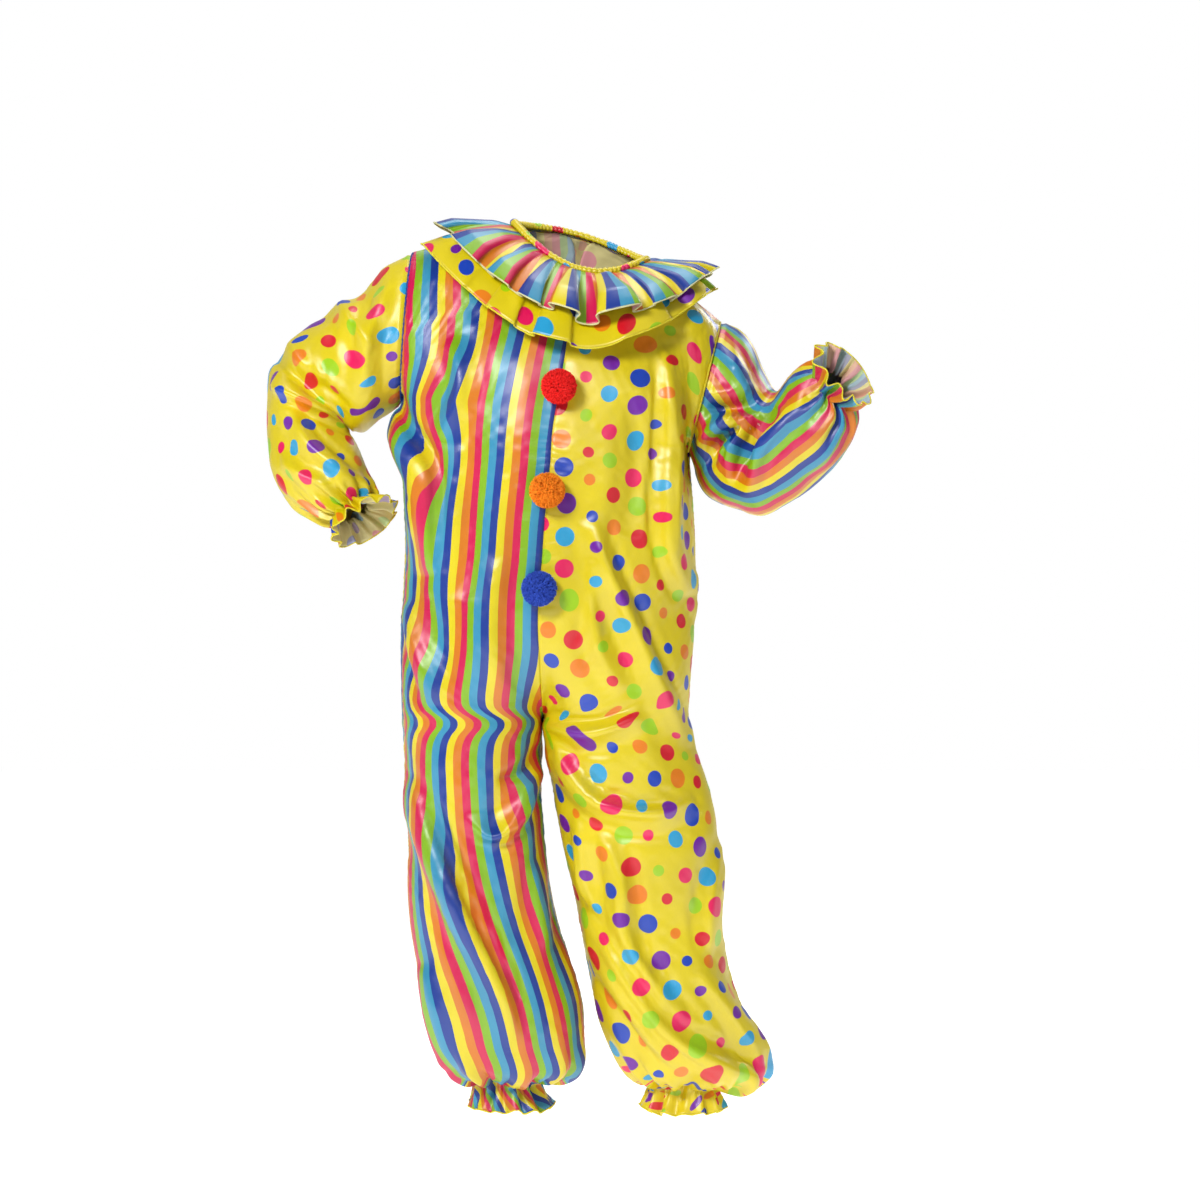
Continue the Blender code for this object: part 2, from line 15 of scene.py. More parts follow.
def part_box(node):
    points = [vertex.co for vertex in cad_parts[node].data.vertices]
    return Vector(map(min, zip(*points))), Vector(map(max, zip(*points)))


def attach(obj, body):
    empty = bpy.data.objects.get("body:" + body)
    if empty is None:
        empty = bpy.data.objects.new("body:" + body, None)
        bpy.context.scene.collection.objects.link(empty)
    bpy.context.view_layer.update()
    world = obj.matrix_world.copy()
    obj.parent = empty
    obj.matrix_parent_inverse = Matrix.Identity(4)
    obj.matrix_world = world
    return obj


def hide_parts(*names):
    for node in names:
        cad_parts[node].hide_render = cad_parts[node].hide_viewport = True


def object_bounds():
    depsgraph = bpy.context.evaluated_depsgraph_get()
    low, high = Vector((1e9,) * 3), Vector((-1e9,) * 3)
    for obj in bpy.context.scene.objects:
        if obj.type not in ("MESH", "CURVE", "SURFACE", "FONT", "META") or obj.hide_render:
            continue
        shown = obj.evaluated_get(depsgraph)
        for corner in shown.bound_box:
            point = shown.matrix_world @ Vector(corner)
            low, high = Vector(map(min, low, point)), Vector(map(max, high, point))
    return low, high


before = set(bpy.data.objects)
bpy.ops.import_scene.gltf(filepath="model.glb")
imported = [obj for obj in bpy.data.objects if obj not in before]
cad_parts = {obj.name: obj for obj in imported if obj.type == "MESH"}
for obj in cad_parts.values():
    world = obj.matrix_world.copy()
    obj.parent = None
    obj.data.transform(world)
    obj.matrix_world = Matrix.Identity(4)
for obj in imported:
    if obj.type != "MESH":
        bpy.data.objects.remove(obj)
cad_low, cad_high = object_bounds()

# ---------------------------------------------------------------- the four long panels
# A front and a back for each side of the body, cut in one from the shoulder to the ankle, of thin polyester
# satin printed with rainbow stripes on the wearer's right and with dots on the left. They are sewn down the
# middle, the sides and the inside legs, and drawn in above the foot by elastic, so that the leg blouses.

RIGHT, LEFT = -1, 1
FRONT, BACK = -1, 1
SIDE_NAMES = {RIGHT: "right", LEFT: "left"}
FACE_NAMES = {FRONT: "front", BACK: "back"}

TINY = 1e-9
CLOTH = 0.0008
MIDDLE_SEAM = 0.0001
SIDE_SEAM = 0.0001
ROUNDNESS = 0.88
NECK_SHARE = 0.45
CHEST_SWELL = 0.022
YOKE_STEPS = 6
CROTCH_STEPS = 5
CROTCH_EASE = 1.2
PANEL_COLUMNS = 28
PANEL_ROW = 0.0135
FINER = 3
FREE_HOLD = 0.55
PANEL_SLACK = (0.060, 0.060, 0.014)
MOST_SHIFT = 0.016

TorsoRing = namedtuple("TorsoRing", "z x_right x_seam x_left y_front y_side y_back tilt")
TORSO = [
    TorsoRing(-0.2963, -0.2937, -0.041, 0.178, -0.185, 0.0, 0.150, -0.1675),
    TorsoRing(-0.360, -0.300, -0.046, 0.184, -0.190, 0.0, 0.148, -0.120),
    TorsoRing(-0.440, -0.288, -0.054, 0.190, -0.188, 0.0, 0.146, -0.080),
    TorsoRing(-0.520, -0.285, -0.060, 0.191, -0.184, 0.0, 0.150, -0.040),
    TorsoRing(-0.575, -0.291, -0.065, 0.190, -0.180, 0.0, 0.158, -0.010),
    TorsoRing(-0.620, -0.296, -0.066, 0.188, -0.174, 0.0, 0.164, 0.0),
]
CROTCH = TorsoRing(-0.772, -0.294, -0.060, 0.178, -0.148, 0.004, 0.158, 0.0)

# Rings down each leg, in millimetres.
LegRing = namedtuple("LegRing", "z x_outer x_inner y_mid half_depth")
LEG_ROWS = {
    RIGHT: [
        (-800, -291, -64, 5, 151),
        (-840, -288, -64, 6, 149),
        (-880, -286, -64, 7, 147),
        (-920, -285, -63.5, 8, 145),
        (-960, -284, -60.5, 9, 143),
        (-1000, -283, -56, 10, 141),
        (-1040, -281, -50, 11, 139),
        (-1080, -279, -44, 12, 137),
        (-1120, -276, -33.5, 13, 136),
        (-1160, -271, -21, 14, 136),
        (-1200, -266, -8, 14, 136),
        (-1245, -258, 4, 14, 136),
        (-1300, -245, 9, 14, 132),
        (-1342, -224, 3, 16, 120),
        (-1366, -192, -27, 18, 92),
        (-1372, -170, -70, 22, 60),
        (-1392, -176, -60, 22, 62),
        (-1414, -184, -44, 22, 72),
    ],
    LEFT: [
        (-800, 182, -56.5, 5, 151),
        (-840, 194, -54, 6, 149),
        (-880, 208, -47, 7, 147),
        (-920, 219, -39, 8, 145),
        (-960, 226, -32, 9, 143),
        (-1000, 229, -24, 10, 141),
        (-1040, 231, -15, 11, 139),
        (-1080, 233, -6, 12, 137),
        (-1120, 235, 1, 13, 136),
        (-1160, 240, 8, 14, 136),
        (-1200, 249, 15, 15, 136),
        (-1245, 265, 25, 16, 136),
        (-1300, 291, 41, 18, 132),
        (-1347, 307, 70, 18, 118),
        (-1371, 292, 98, 20, 90),
        (-1378, 226, 122, 22, 58),
        (-1397, 228, 117, 22, 60),
        (-1419, 236, 108, 22, 70),
    ],
}
LEGS = {side: [LegRing(*(size / 1000 for size in row)) for row in rows] for side, rows in LEG_ROWS.items()}
ANKLE_ROWS = 5
GATHER_Z = -1.30

# Rings along each sleeve from the armhole to the cuff, in millimetres, with their turn in degrees.
ArmRing = namedtuple("ArmRing", "x_top z_top x_bottom z_bottom y_mid half_depth turn")
ARM_ROWS = {
    RIGHT: [
        (-274.7, -3.3, -293.7, -254, 0, 95, 0),
        (-320, -35, -328, -276, 4, 98, 0),
        (-366, -74, -356, -300, 12, 98, 0),
        (-414, -102, -373, -298, 20, 95, 0),
        (-464, -136, -380, -293.5, 26, 91, 0),
        (-513, -201, -382, -295, 27, 88, 0),
        (-517, -258, -380, -302, 22, 86, 3),
        (-512, -315, -372, -318, 10, 84, 8),
        (-505, -364, -359, -344, -6, 80, 12),
        (-487, -403, -345, -372, -24, 72, 16),
        (-460, -431, -335, -395, -40, 60, 20),
        (-427, -447, -332, -407, -50, 46, 22),
        (-397, -450, -337, -414, -57, 34, 24),
        (-396, -466, -321, -413, -64, 42, 26),
        (-393, -484, -302, -418, -72, 52, 28),
    ],
    LEFT: [
        (231, -117, 178, -333, 0, 90, 0),
        (265, -138, 188, -358, -4, 94, 0),
        (290, -171, 196, -382, -10, 94, 0),
        (308, -205, 212, -406, -20, 92, 4),
        (318, -230, 238, -424, -34, 90, 8),
        (325, -233, 274, -433, -50, 88, 12),
        (332, -227, 311, -431, -66, 85, 16),
        (342, -218, 348, -412, -84, 81, 20),
        (353, -209, 384, -388, -102, 76, 24),
        (363, -203, 413, -357, -120, 68, 28),
        (373, -199, 432, -322, -136, 56, 32),
        (381, -200, 438, -292, -148, 44, 34),
        (386, -207, 426, -266, -156, 36, 36),
        (386, -189, 444, -268, -166, 44, 36),
        (387, -173, 460, -262, -176, 54, 36),
    ],
}

SLEEVES = {
    side: [ArmRing(*(size / 1000 for size in row[:-1]), row[-1]) for row in rows]
    for side, rows in ARM_ROWS.items()
}

NECK_HALF_WIDTH = 0.109
NECK_FRONT_DEPTH = 0.095
NECK_BACK_DEPTH = 0.085
NECK_LIFT = 0.0105
NECK_SIDE_DROP = 0.0305
NECK_FRONT_DIP = 0.056
NECK_BACK_RISE = 0.020
NECK_EDGE_OUT = 0.0075
PANEL_EDGE_DROP = 0.004

CREASE_SCALE = 1.5  # how much deeper the creases are cut, since the settling softens them
SHARP_WIDTH = 0.42
SHARP_SCALE = 0.30

# The creases that show most, as ridges (or troughs, where height is negative) seen from the front or the
# back, in millimetres. lean makes one flank steeper than the other, and the path is in x and z.
Crease = namedtuple("Crease", "width height lean path")


def creases_of(table):
    """The creases of each side and face, from their rows in millimetres."""
    return {
        place: [
            Crease(width / 1000, height / 1000, lean, [(x / 1000, z / 1000) for x, z in path])
            for width, height, lean, path in rows
        ]
        for place, rows in table.items()
    }


CREASES = creases_of({
    (RIGHT, FRONT): [
        (20, 20, -0.4, [(-307, -254), (-289, -300), (-247, -373), (-244, -446), (-238, -536)]),
        (17, 10, 0.2, [(-211, -157), (-193, -206), (-195, -256), (-223, -314)]),
        (26, 8, 0, [(-132, -511), (-142, -643), (-112, -751)]),
        (18, 10, 0.3, [(-284, -578), (-264, -660), (-234, -743)]),
        (28, -8, 0, [(-181, -280), (-175, -446), (-181, -578)]),
        (20, 6, 0.2, [(-66, -412), (-83, -561), (-73, -726)]),
        (19, 19, -0.3, [(-276, -871), (-231, -980), (-186, -1081), (-124, -1208), (-104, -1297)]),
        (15, -9, 0, [(-247, -907), (-211, -992), (-148, -1132), (-97, -1221)]),
        (14, 12, 0.3, [(-181, -927), (-142, -960), (-104, -932), (-66, -850)]),
        (11, -7, 0, [(-132, -866), (-96, -858), (-66, -812)]),
        (12, 7, 0, [(-73, -1006), (-66, -1073), (-53, -1147)]),
        (18, 9, 0.2, [(-256, -1171), (-231, -1270), (-211, -1340)]),
    ],
    (LEFT, FRONT): [
        (16, 18, 0.3, [(139, -173), (144, -297), (139, -421), (145, -503), (177, -571)]),
        (17, 14, -0.3, [(23, -446), (43, -520), (99, -643), (181, -817)]),
        (16, 9, 0.2, [(17, -511), (26, -643), (66, -726)]),
        (14, 8, 0, [(198, -578), (221, -643), (211, -743)]),
        (26, -7, 0, [(83, -247), (92, -363), (79, -478)]),
        (14, 12, -0.3, [(-63, -779), (17, -789), (99, -762)]),
        (16, 14, -0.4, [(-53, -792), (-8, -860), (41, -904), (124, -917), (181, -891)]),
        (11, 10, 0.3, [(-7, -924), (3, -1005), (10, -1043), (36, -1097)]),
        (18, 15, -0.4, [(41, -954), (68, -1025), (79, -1119), (130, -1208), (195, -1284)]),
        (20, 18, -0.3, [(7, -1081), (79, -1196), (157, -1284), (257, -1340), (297, -1369)]),
        (14, 9, 0, [(233, -967), (213, -1074), (214, -1147)]),
        (14, 11, 0.2, [(188, -1171), (280, -1304), (310, -1361)]),
        (13, 9, 0, [(33, -1171), (116, -1287), (181, -1361)]),
    ],
    (RIGHT, BACK): [
        (20, 16, 0.3, [(-270, -250), (-215, -340), (-190, -460), (-200, -600)]),
        (26, -9, 0, [(-110, -220), (-120, -420), (-105, -620)]),
        (18, 12, -0.3, [(-70, -500), (-130, -640), (-230, -760)]),
        (17, 14, 0.3, [(-75, -810), (-130, -880), (-215, -900), (-260, -870)]),
        (19, 16, 0.3, [(-90, -930), (-150, -1060), (-220, -1180), (-235, -1290)]),
        (16, 10, 0, [(-60, -1080), (-90, -1200), (-150, -1320)]),
    ],
    (LEFT, BACK): [
        (19, 16, -0.3, [(160, -330), (110, -400), (95, -520), (110, -640)]),
        (24, -9, 0, [(20, -240), (35, -420), (20, -640)]),
        (18, 12, 0.3, [(-30, -480), (40, -620), (140, -720)]),
        (16, 14, -0.3, [(-40, -800), (10, -880), (100, -905), (180, -870)]),
        (19, 16, -0.3, [(30, -930), (75, -1060), (150, -1190), (230, -1300)]),
        (15, 10, 0, [(20, -1060), (60, -1200), (140, -1330)]),
    ],
})

# Where the cloth has been dragged sideways, so that its stripes run out of straight, in millimetres.
Drag = namedtuple("Drag", "x z reach_x reach_z shift")
DRAG_ROWS = {
    (RIGHT, FRONT): [
        (-120, -1280, 170, 220, 44),
        (-240, -265, 36, 50, -20),
        (-240, -360, 34, 45, 18),
        (-235, -640, 45, 70, 12),
    ],
    (RIGHT, BACK): [
        (-150, -1250, 90, 200, -40),
        (-220, -320, 50, 60, 20),
    ],
}


def eased(angle):
    """Sine and cosine of an angle, with the corners of their ellipse filled out."""
    sine, cosine = np.sin(angle), np.cos(angle)
    return (
        np.sign(sine) * np.abs(sine) ** ROUNDNESS,
        np.sign(cosine) * np.abs(cosine) ** ROUNDNESS,
    )


def points_at(x, y, z):
    return np.stack(np.broadcast_arrays(x, y, z), axis=-1).astype(float)


def unit(vectors):
    return vectors / np.maximum(np.linalg.norm(vectors, axis=-1, keepdims=True), TINY)


def run_along(line):
    """How far along a line of points each one lies."""
    return np.concatenate([[0.0], np.cumsum(np.linalg.norm(np.diff(line, axis=0), axis=1))])


def soften(rows, rounds=1):
    """Draws each row towards its neighbours, in place. The first and the last stay."""
    for _ in range(rounds):
        rows[1:-1] = rows[1:-1] / 2 + (rows[:-2] + rows[2:]) / 4
    return rows


def smooth_step(share):
    return share * share * (3 - 2 * share)


def neck_point(angle, out=0.0, up=0.0):
    """Points round the neck opening: angle 0 is its front and a quarter turn is the wearer's left."""
    sine, cosine = np.sin(angle), np.cos(angle)
    depth = np.where(cosine > 0, NECK_FRONT_DEPTH, NECK_BACK_DEPTH)
    slope = np.where(cosine > 0, -NECK_FRONT_DIP, NECK_BACK_RISE)
    z = NECK_LIFT - NECK_SIDE_DROP * sine + slope * cosine * cosine
    return points_at((NECK_HALF_WIDTH + out) * sine, -(depth + out) * cosine, z + up)


def armhole_point(side, face, share):
    """The armhole's edge: share 0 is the underarm and 1 is the tip of the shoulder."""
    ring = SLEEVES[side][0]
    angle = math.pi * np.asarray(share)
    climb = (1 - np.cos(angle)) / 2
    return points_at(
        ring.x_bottom + (ring.x_top - ring.x_bottom) * climb,
        ring.y_mid + face * ring.half_depth * np.sin(angle),
        ring.z_bottom + (ring.z_top - ring.z_bottom) * climb,
    )


def torso_point(ring, side, face, share, rise=0.0):
    """Points on a torso ring, from the middle seam to the side seam. rise turns the crotch seam under."""
    share = np.asarray(share, float)
    width = ring.x_left - ring.x_seam if side == LEFT else ring.x_seam - ring.x_right
    depth = ring.y_side - ring.y_front if face == FRONT else ring.y_back - ring.y_side
    under = eased(rise)[0]
    radius = width / (1 + under)
    across, forward = eased(-rise + (math.pi / 2 + rise) * share)
    x = ring.x_seam + side * radius * (under + across)
    return points_at(x, ring.y_side + face * depth * forward, ring.z + ring.tilt * (x - ring.x_seam))


def leg_point(ring, side, face, share):
    """Points on a leg ring, from the inside leg seam to the side seam."""
    across, forward = eased(math.pi * (share - 0.5))
    half_width = abs(ring.x_outer - ring.x_inner) / 2
    x = (ring.x_outer + ring.x_inner) / 2 + side * half_width * across
    return points_at(x, ring.y_mid + face * ring.half_depth * forward, ring.z)


def yoke_inner(side, face, share):
    """One point of the yoke's inner edge: up the middle seam to the neck, then round the neckline."""
    foot = torso_point(TORSO[0], side, face, 0.0)
    if share < NECK_SHARE:
        climb = share / NECK_SHARE
        top = neck_point(0.0 if face == FRONT else math.pi, NECK_EDGE_OUT, -PANEL_EDGE_DROP)
        swell = face * CHEST_SWELL * math.sin(math.pi * climb)
        return foot + (top - foot) * climb + np.array([0.0, swell, 0.0])
    turn = (share - NECK_SHARE) / (1 - NECK_SHARE) * math.pi / 2
    angle = side * turn if face == FRONT else math.pi - side * turn
    return neck_point(angle, NECK_EDGE_OUT, -PANEL_EDGE_DROP)


def yoke_row(side, face, share, climb):
    """A row of the chest and shoulder, filled in between underarm ring, middle, shoulder and armhole."""
    share = share[:, None]
    low = torso_point(TORSO[0], side, face, share[:, 0])
    neck, tip = yoke_inner(side, face, 1.0), armhole_point(side, face, 1.0)
    high = neck + (tip - neck) * share
    inner, outer = yoke_inner(side, face, climb), armhole_point(side, face, climb)
    low_edge = low[0] + (low[-1] - low[0]) * share
    corners = low_edge + (high - low_edge) * climb
    return low + (high - low) * climb + inner + (outer - inner) * share - corners


def mix_rings(first, second, share):
    return type(first)(*(a + (b - a) * share for a, b in zip(first, second)))


def panel_rows(side, face):
    """The rows that give one panel its form, from the shoulder seam to the foot of the ankle frill."""
    share = np.linspace(0.0, 1.0, PANEL_COLUMNS + 1)
    rows = [yoke_row(side, face, share, 1 - row / YOKE_STEPS) for row in range(YOKE_STEPS)]
    rows += [torso_point(ring, side, face, share) for ring in TORSO]
    for step in range(1, CROTCH_STEPS + 1):
        rise = math.pi / 2 * (step / CROTCH_STEPS) ** CROTCH_EASE
        inner = torso_point(mix_rings(TORSO[-1], CROTCH, math.sin(rise)), side, face, share, rise)
        outer = torso_point(mix_rings(TORSO[-1], CROTCH, step / CROTCH_STEPS), side, face, share, rise)
        rows.append(inner + (outer - inner) * share[:, None])
    rows += [leg_point(ring, side, face, share) for ring in LEGS[side]]
    grid = np.array(rows)
    even = soften(grid.copy())
    split = YOKE_STEPS + len(TORSO) + CROTCH_STEPS
    last = len(grid) - ANKLE_ROWS
    even[:YOKE_STEPS + 1], even[last:] = grid[:YOKE_STEPS + 1], grid[last:]
    even[:split, 0] = grid[:split, 0]
    return even


def curved(rows, knots, places):
    """Rows read at new places from a smooth curve through rows that stand at uneven knots."""
    gaps = np.diff(knots)
    wide = gaps.reshape((-1,) + (1,) * (rows.ndim - 1))
    slopes = np.diff(rows, axis=0) / wide
    tangents = np.concatenate([
        slopes[:1],
        (slopes[:-1] * wide[1:] + slopes[1:] * wide[:-1]) / (wide[1:] + wide[:-1]),
        slopes[-1:],
    ])
    cell = np.clip(np.searchsorted(knots, places, side="right") - 1, 0, len(gaps) - 1)
    t = ((places - knots[cell]) / gaps[cell]).reshape((-1,) + (1,) * (rows.ndim - 1))
    gap = wide[cell]
    return (
        (2 * t**3 - 3 * t**2 + 1) * rows[cell]
        + (t**3 - 2 * t**2 + t) * gap * tangents[cell]
        + (3 * t**2 - 2 * t**3) * rows[cell + 1]
        + (t**3 - t**2) * gap * tangents[cell + 1]
    )


def knots_of(rows):
    """How far down the cloth each row lies."""
    steps = np.median(np.linalg.norm(np.diff(rows, axis=0), axis=2), axis=1)
    return np.concatenate([[0.0], np.cumsum(steps)])


def finer(grid, closed):
    """The grid with FINER times as many rows and columns."""
    rows = np.arange(len(grid), dtype=float)
    grid = curved(grid, rows, np.linspace(0, len(grid) - 1, (len(grid) - 1) * FINER + 1))
    turned = grid.swapaxes(0, 1)
    if closed:
        turned = np.concatenate([turned[-2:], turned, turned[:3]])
        places = np.arange(2, len(turned) - 3, 1 / FINER)
    else:
        places = np.linspace(0, len(turned) - 1, (len(turned) - 1) * FINER + 1)
    return curved(turned, np.arange(len(turned), dtype=float), places).swapaxes(0, 1)


def outward(grid, closed, flip):
    """Unit normals of a grid of points."""
    if closed:
        across = np.roll(grid, -1, axis=1) - np.roll(grid, 1, axis=1)
    else:
        across = np.gradient(grid, axis=1)
    return unit(np.cross(across, np.gradient(grid, axis=0)) * (-1 if flip else 1))


CREASE_POINTS = 6  # points on a crease's curve for each one in its path
CREASE_TAPER = 0.7
TROUGH_DEPTH, TROUGH_PLACE, TROUGH_WIDTH = 0.3, 1.8, 0.6  # the hollow beside each ridge, as shares of it


def crease_push(x, z, creases):
    """How far the creases push the cloth out at places seen from the front."""
    total = np.zeros_like(x)
    for crease in creases:
        path = np.array(crease.path)
        stations = np.arange(len(path), dtype=float)
        line = curved(path, stations, np.linspace(0, len(path) - 1, CREASE_POINTS * len(path)))
        nearest, signed, place = np.full(x.shape, np.inf), np.zeros_like(x), np.zeros_like(x)
        for k, (start, end) in enumerate(zip(line, line[1:])):
            along = end - start
            t = np.clip(((x - start[0]) * along[0] + (z - start[1]) * along[1]) / (along @ along), 0, 1)
            off_x, off_z = x - start[0] - along[0] * t, z - start[1] - along[1] * t
            off = np.hypot(off_x, off_z)
            closer = off < nearest
            nearest = np.where(closer, off, nearest)
            signed = np.where(closer, np.sign(along[0] * off_z - along[1] * off_x) * off, signed)
            place = np.where(closer, (k + t) / (len(line) - 1), place)
        fade = np.sin(math.pi * np.clip(place, 0, 1)) ** CREASE_TAPER
        q = signed / (crease.width * np.where(signed > 0, 1 + crease.lean, 1 - crease.lean))
        trough = TROUGH_DEPTH * np.exp(-(((np.abs(q) - TROUGH_PLACE) / TROUGH_WIDTH) ** 2))
        total += crease.height * fade * (np.exp(-q * q) - trough)
    return total


RIPPLE_WAVES = 28
RIPPLE_LENGTHS = (0.6, 1.7)
RIPPLE_TIP = 0.5  # how far the waves tip up or down, in radians
RIPPLE_FALL = 0.55  # under 1 draws the swells out down the cloth


def ripples(points, seed, size, height):
    """Soft uneven swells of thin cloth, mostly running down it, from a few dozen crossing waves."""
    dice = np.random.default_rng(seed)
    total = np.zeros(points.shape[:2])
    for _ in range(RIPPLE_WAVES):
        length = size * dice.uniform(*RIPPLE_LENGTHS)
        tip = dice.normal(0.0, RIPPLE_TIP)
        turn = dice.uniform(0, 2 * math.pi)
        level = math.cos(tip)
        way = np.array([math.cos(turn) * level, math.sin(turn) * level, RIPPLE_FALL * math.sin(tip)])
        total += np.sin(points @ (way * 2 * math.pi / length) + dice.uniform(0, 2 * math.pi))
    return total * height / math.sqrt(RIPPLE_WAVES / 2)


Gather = namedtuple("Gather", "count reach height")
GATHERS = [Gather(11, 0.075, 0.0050), Gather(19, 0.045, 0.0034), Gather(31, 0.024, 0.0022)]


def gathers(turn, away, seed):
    """Radiating puckers beside elastic: many fine ones at it, running together into fewer further off."""
    dice = np.random.default_rng(seed)
    total = np.zeros(np.broadcast(turn, away).shape)
    for row in GATHERS:
        phase = dice.uniform(0, 2 * math.pi, 3)
        lilt = 0.5 * np.sin(2 * turn + phase[0]) + 0.35 * np.sin(5 * turn + phase[1])
        fade = np.exp(-((away / row.reach) ** 2))
        total += row.height * fade * np.sin(row.count * turn + lilt * 2 + phase[2])
    return total


PUCKER_PITCH = 0.013
PUCKER_HEIGHT = 0.0011
PUCKER_REACH = 0.010
STITCHED_FLAT = 0.002  # how far from the seam its stitches hold the puckers down


def seam_pucker(run, away, seed):
    """Small puckers that stand across a seam, unevenly spaced."""
    phase = seed * 1.7
    uneven = 1.6 * np.sin(run * 41 + phase)
    wave = np.sin(2 * math.pi * run / PUCKER_PITCH + uneven + phase)
    return PUCKER_HEIGHT * wave * np.exp(-away / PUCKER_REACH) * (1 - np.exp(-away / STITCHED_FLAT))


def quads_of(rows, columns, closed, flip):
    spans = columns if closed else columns - 1
    row, i = np.meshgrid(np.arange(rows - 1), np.arange(spans), indexing="ij")
    j = (i + 1) % columns
    here, below = row * columns, (row + 1) * columns
    return np.stack([here + i, here + j, below + j, below + i], -1).reshape(-1, 4)[:, ::-1 if flip else 1]


def linked(name, data):
    """A new object that holds the mesh, the light or the camera."""
    obj = bpy.data.objects.new(name, data)
    bpy.context.scene.collection.objects.link(obj)
    return obj


def mesh_of(name, points, faces):
    mesh = bpy.data.meshes.new(name)
    mesh.from_pydata(points.reshape(-1, 3).tolist(), [], faces.tolist())
    return mesh


def cloth_piece(name, grid, uv, closed, flip, outside, inside, node, slot):
    """A thin shell of cloth whose outer face is the grid. uv is the place on the flat cloth, in metres."""
    rows, columns = grid.shape[:2]
    quads = quads_of(rows, columns, closed, flip)
    mesh = mesh_of(name, grid, quads)
    layer = mesh.uv_layers.new(name="cloth")
    flat = uv.reshape(-1, 2)[quads.reshape(-1)].reshape(-1, 4, 2)
    if closed:
        wide = flat[:, :, 0].max(axis=1) - flat[:, :, 0].min(axis=1)
        girth = uv[:, -1, 0] + (uv[:, -1, 0] - uv[:, -2, 0]) - uv[:, 0, 0]
        across = np.repeat(girth[:-1], columns)
        wraps = wide > 0.5 * np.abs(across)
        low = np.abs(flat[:, :, 0] - uv.reshape(-1, 2)[:, 0].min()) < 0.5 * np.abs(across)[:, None]
        flat[:, :, 0] += np.where(wraps[:, None] & low, across[:, None], 0.0)
    layer.data.foreach_set("uv", flat.reshape(-1))
    mesh.materials.append(outside)
    mesh.materials.append(inside)
    mesh.shade_smooth()
    obj = linked(name, mesh)
    wall = obj.modifiers.new("wall", "SOLIDIFY")
    wall.thickness = CLOTH
    wall.offset = -1.0
    wall.material_offset = 1
    wall.material_offset_rim = 0
    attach(obj, "root")
    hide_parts(node)
    return obj


STRIPE = 0.013
STRIPES = [
    (0.002, 0.034, 0.28),  # navy
    (0.055, 0.29, 0.47),  # sky
    (0.22, 0.45, 0.004),  # lime
    (0.62, 0.008, 0.080),  # pink
    (0.66, 0.185, 0.004),  # orange
    (0.74, 0.61, 0.014),  # yellow
]
REPEAT = STRIPE * len(STRIPES)
DOT_YELLOW = (0.73, 0.585, 0.008)
DOT_GRID = 0.046
DOT_RADII = [0.335, 0.200, 0.275]  # as shares of the grid, and so are the three below
DOT_STAGGER = 0.46
DOT_STRAY, DOT_START = 0.22, 0.39
DOT_EDGE = 60.0
GRID_TURN = (0.94, 0.34)  # cosine and sine of the grid's slant
DOT_COLOURS = [
    (0.80, 0.215, 0.008),
    (0.050, 0.36, 0.64),
    (0.66, 0.008, 0.022),
    (0.16, 0.018, 0.34),
    (0.36, 0.62, 0.03),
    (0.010, 0.055, 0.46),
    (0.78, 0.022, 0.120),
]


def add(tree, kind, *sources, **settings):
    """One shader node. sources are the values or the sockets for its inputs, in order."""
    made = tree.nodes.new("ShaderNode" + kind)
    for name, value in settings.items():
        setattr(made, name, value)
    for socket, source in zip(made.inputs, sources):
        if isinstance(source, bpy.types.NodeSocket):
            tree.links.new(source, socket)
        elif source is not None:
            socket.default_value = source
    return made


def maths(tree, operation, *sources):
    return add(tree, "Math", *sources, operation=operation).outputs[0]


def times(tree, first, second):
    return maths(tree, "MULTIPLY", first, second)


def material_of(name, **values):
    """A new material, its tree and its shader, with values for the shader's inputs."""
    material = bpy.data.materials.new(name)
    material.use_nodes = True
    tree = material.node_tree
    shader = tree.nodes["Principled BSDF"]
    for socket, value in values.items():
        shader.inputs[socket.replace("_", " ")].default_value = value
    return material, tree, shader


def steps_of(tree, place, colours):
    """A ramp that holds each colour in turn as place runs from 0 to 1."""
    ramp = add(tree, "ValToRGB", place)
    ramp.color_ramp.interpolation = "CONSTANT"
    stops = ramp.color_ramp.elements
    while len(stops) < len(colours):
        stops.new(1.0)
    for k, colour in enumerate(colours):
        stops[k].position = k / len(colours)
        stops[k].color = (*colour, 1.0)
    return ramp.outputs[0]


def mixed(tree, share, first, second):
    node = tree.nodes.new("ShaderNodeMix")
    node.data_type = "RGBA"
    for socket, source in zip([node.inputs[0], node.inputs[6], node.inputs[7]], [share, first, second]):
        if isinstance(source, bpy.types.NodeSocket):
            tree.links.new(source, socket)
        else:
            socket.default_value = source if isinstance(source, float) else (*source, 1.0)
    return node.outputs[2]


def striped_print(tree, u, _):
    return steps_of(tree, maths(tree, "FRACT", maths(tree, "DIVIDE", u, REPEAT)), STRIPES)


def one_of(tree, number, count):
    """The middle of a step among count steps of a ramp, for a whole number below count."""
    return maths(tree, "DIVIDE", maths(tree, "ADD", number, 0.5), float(count))


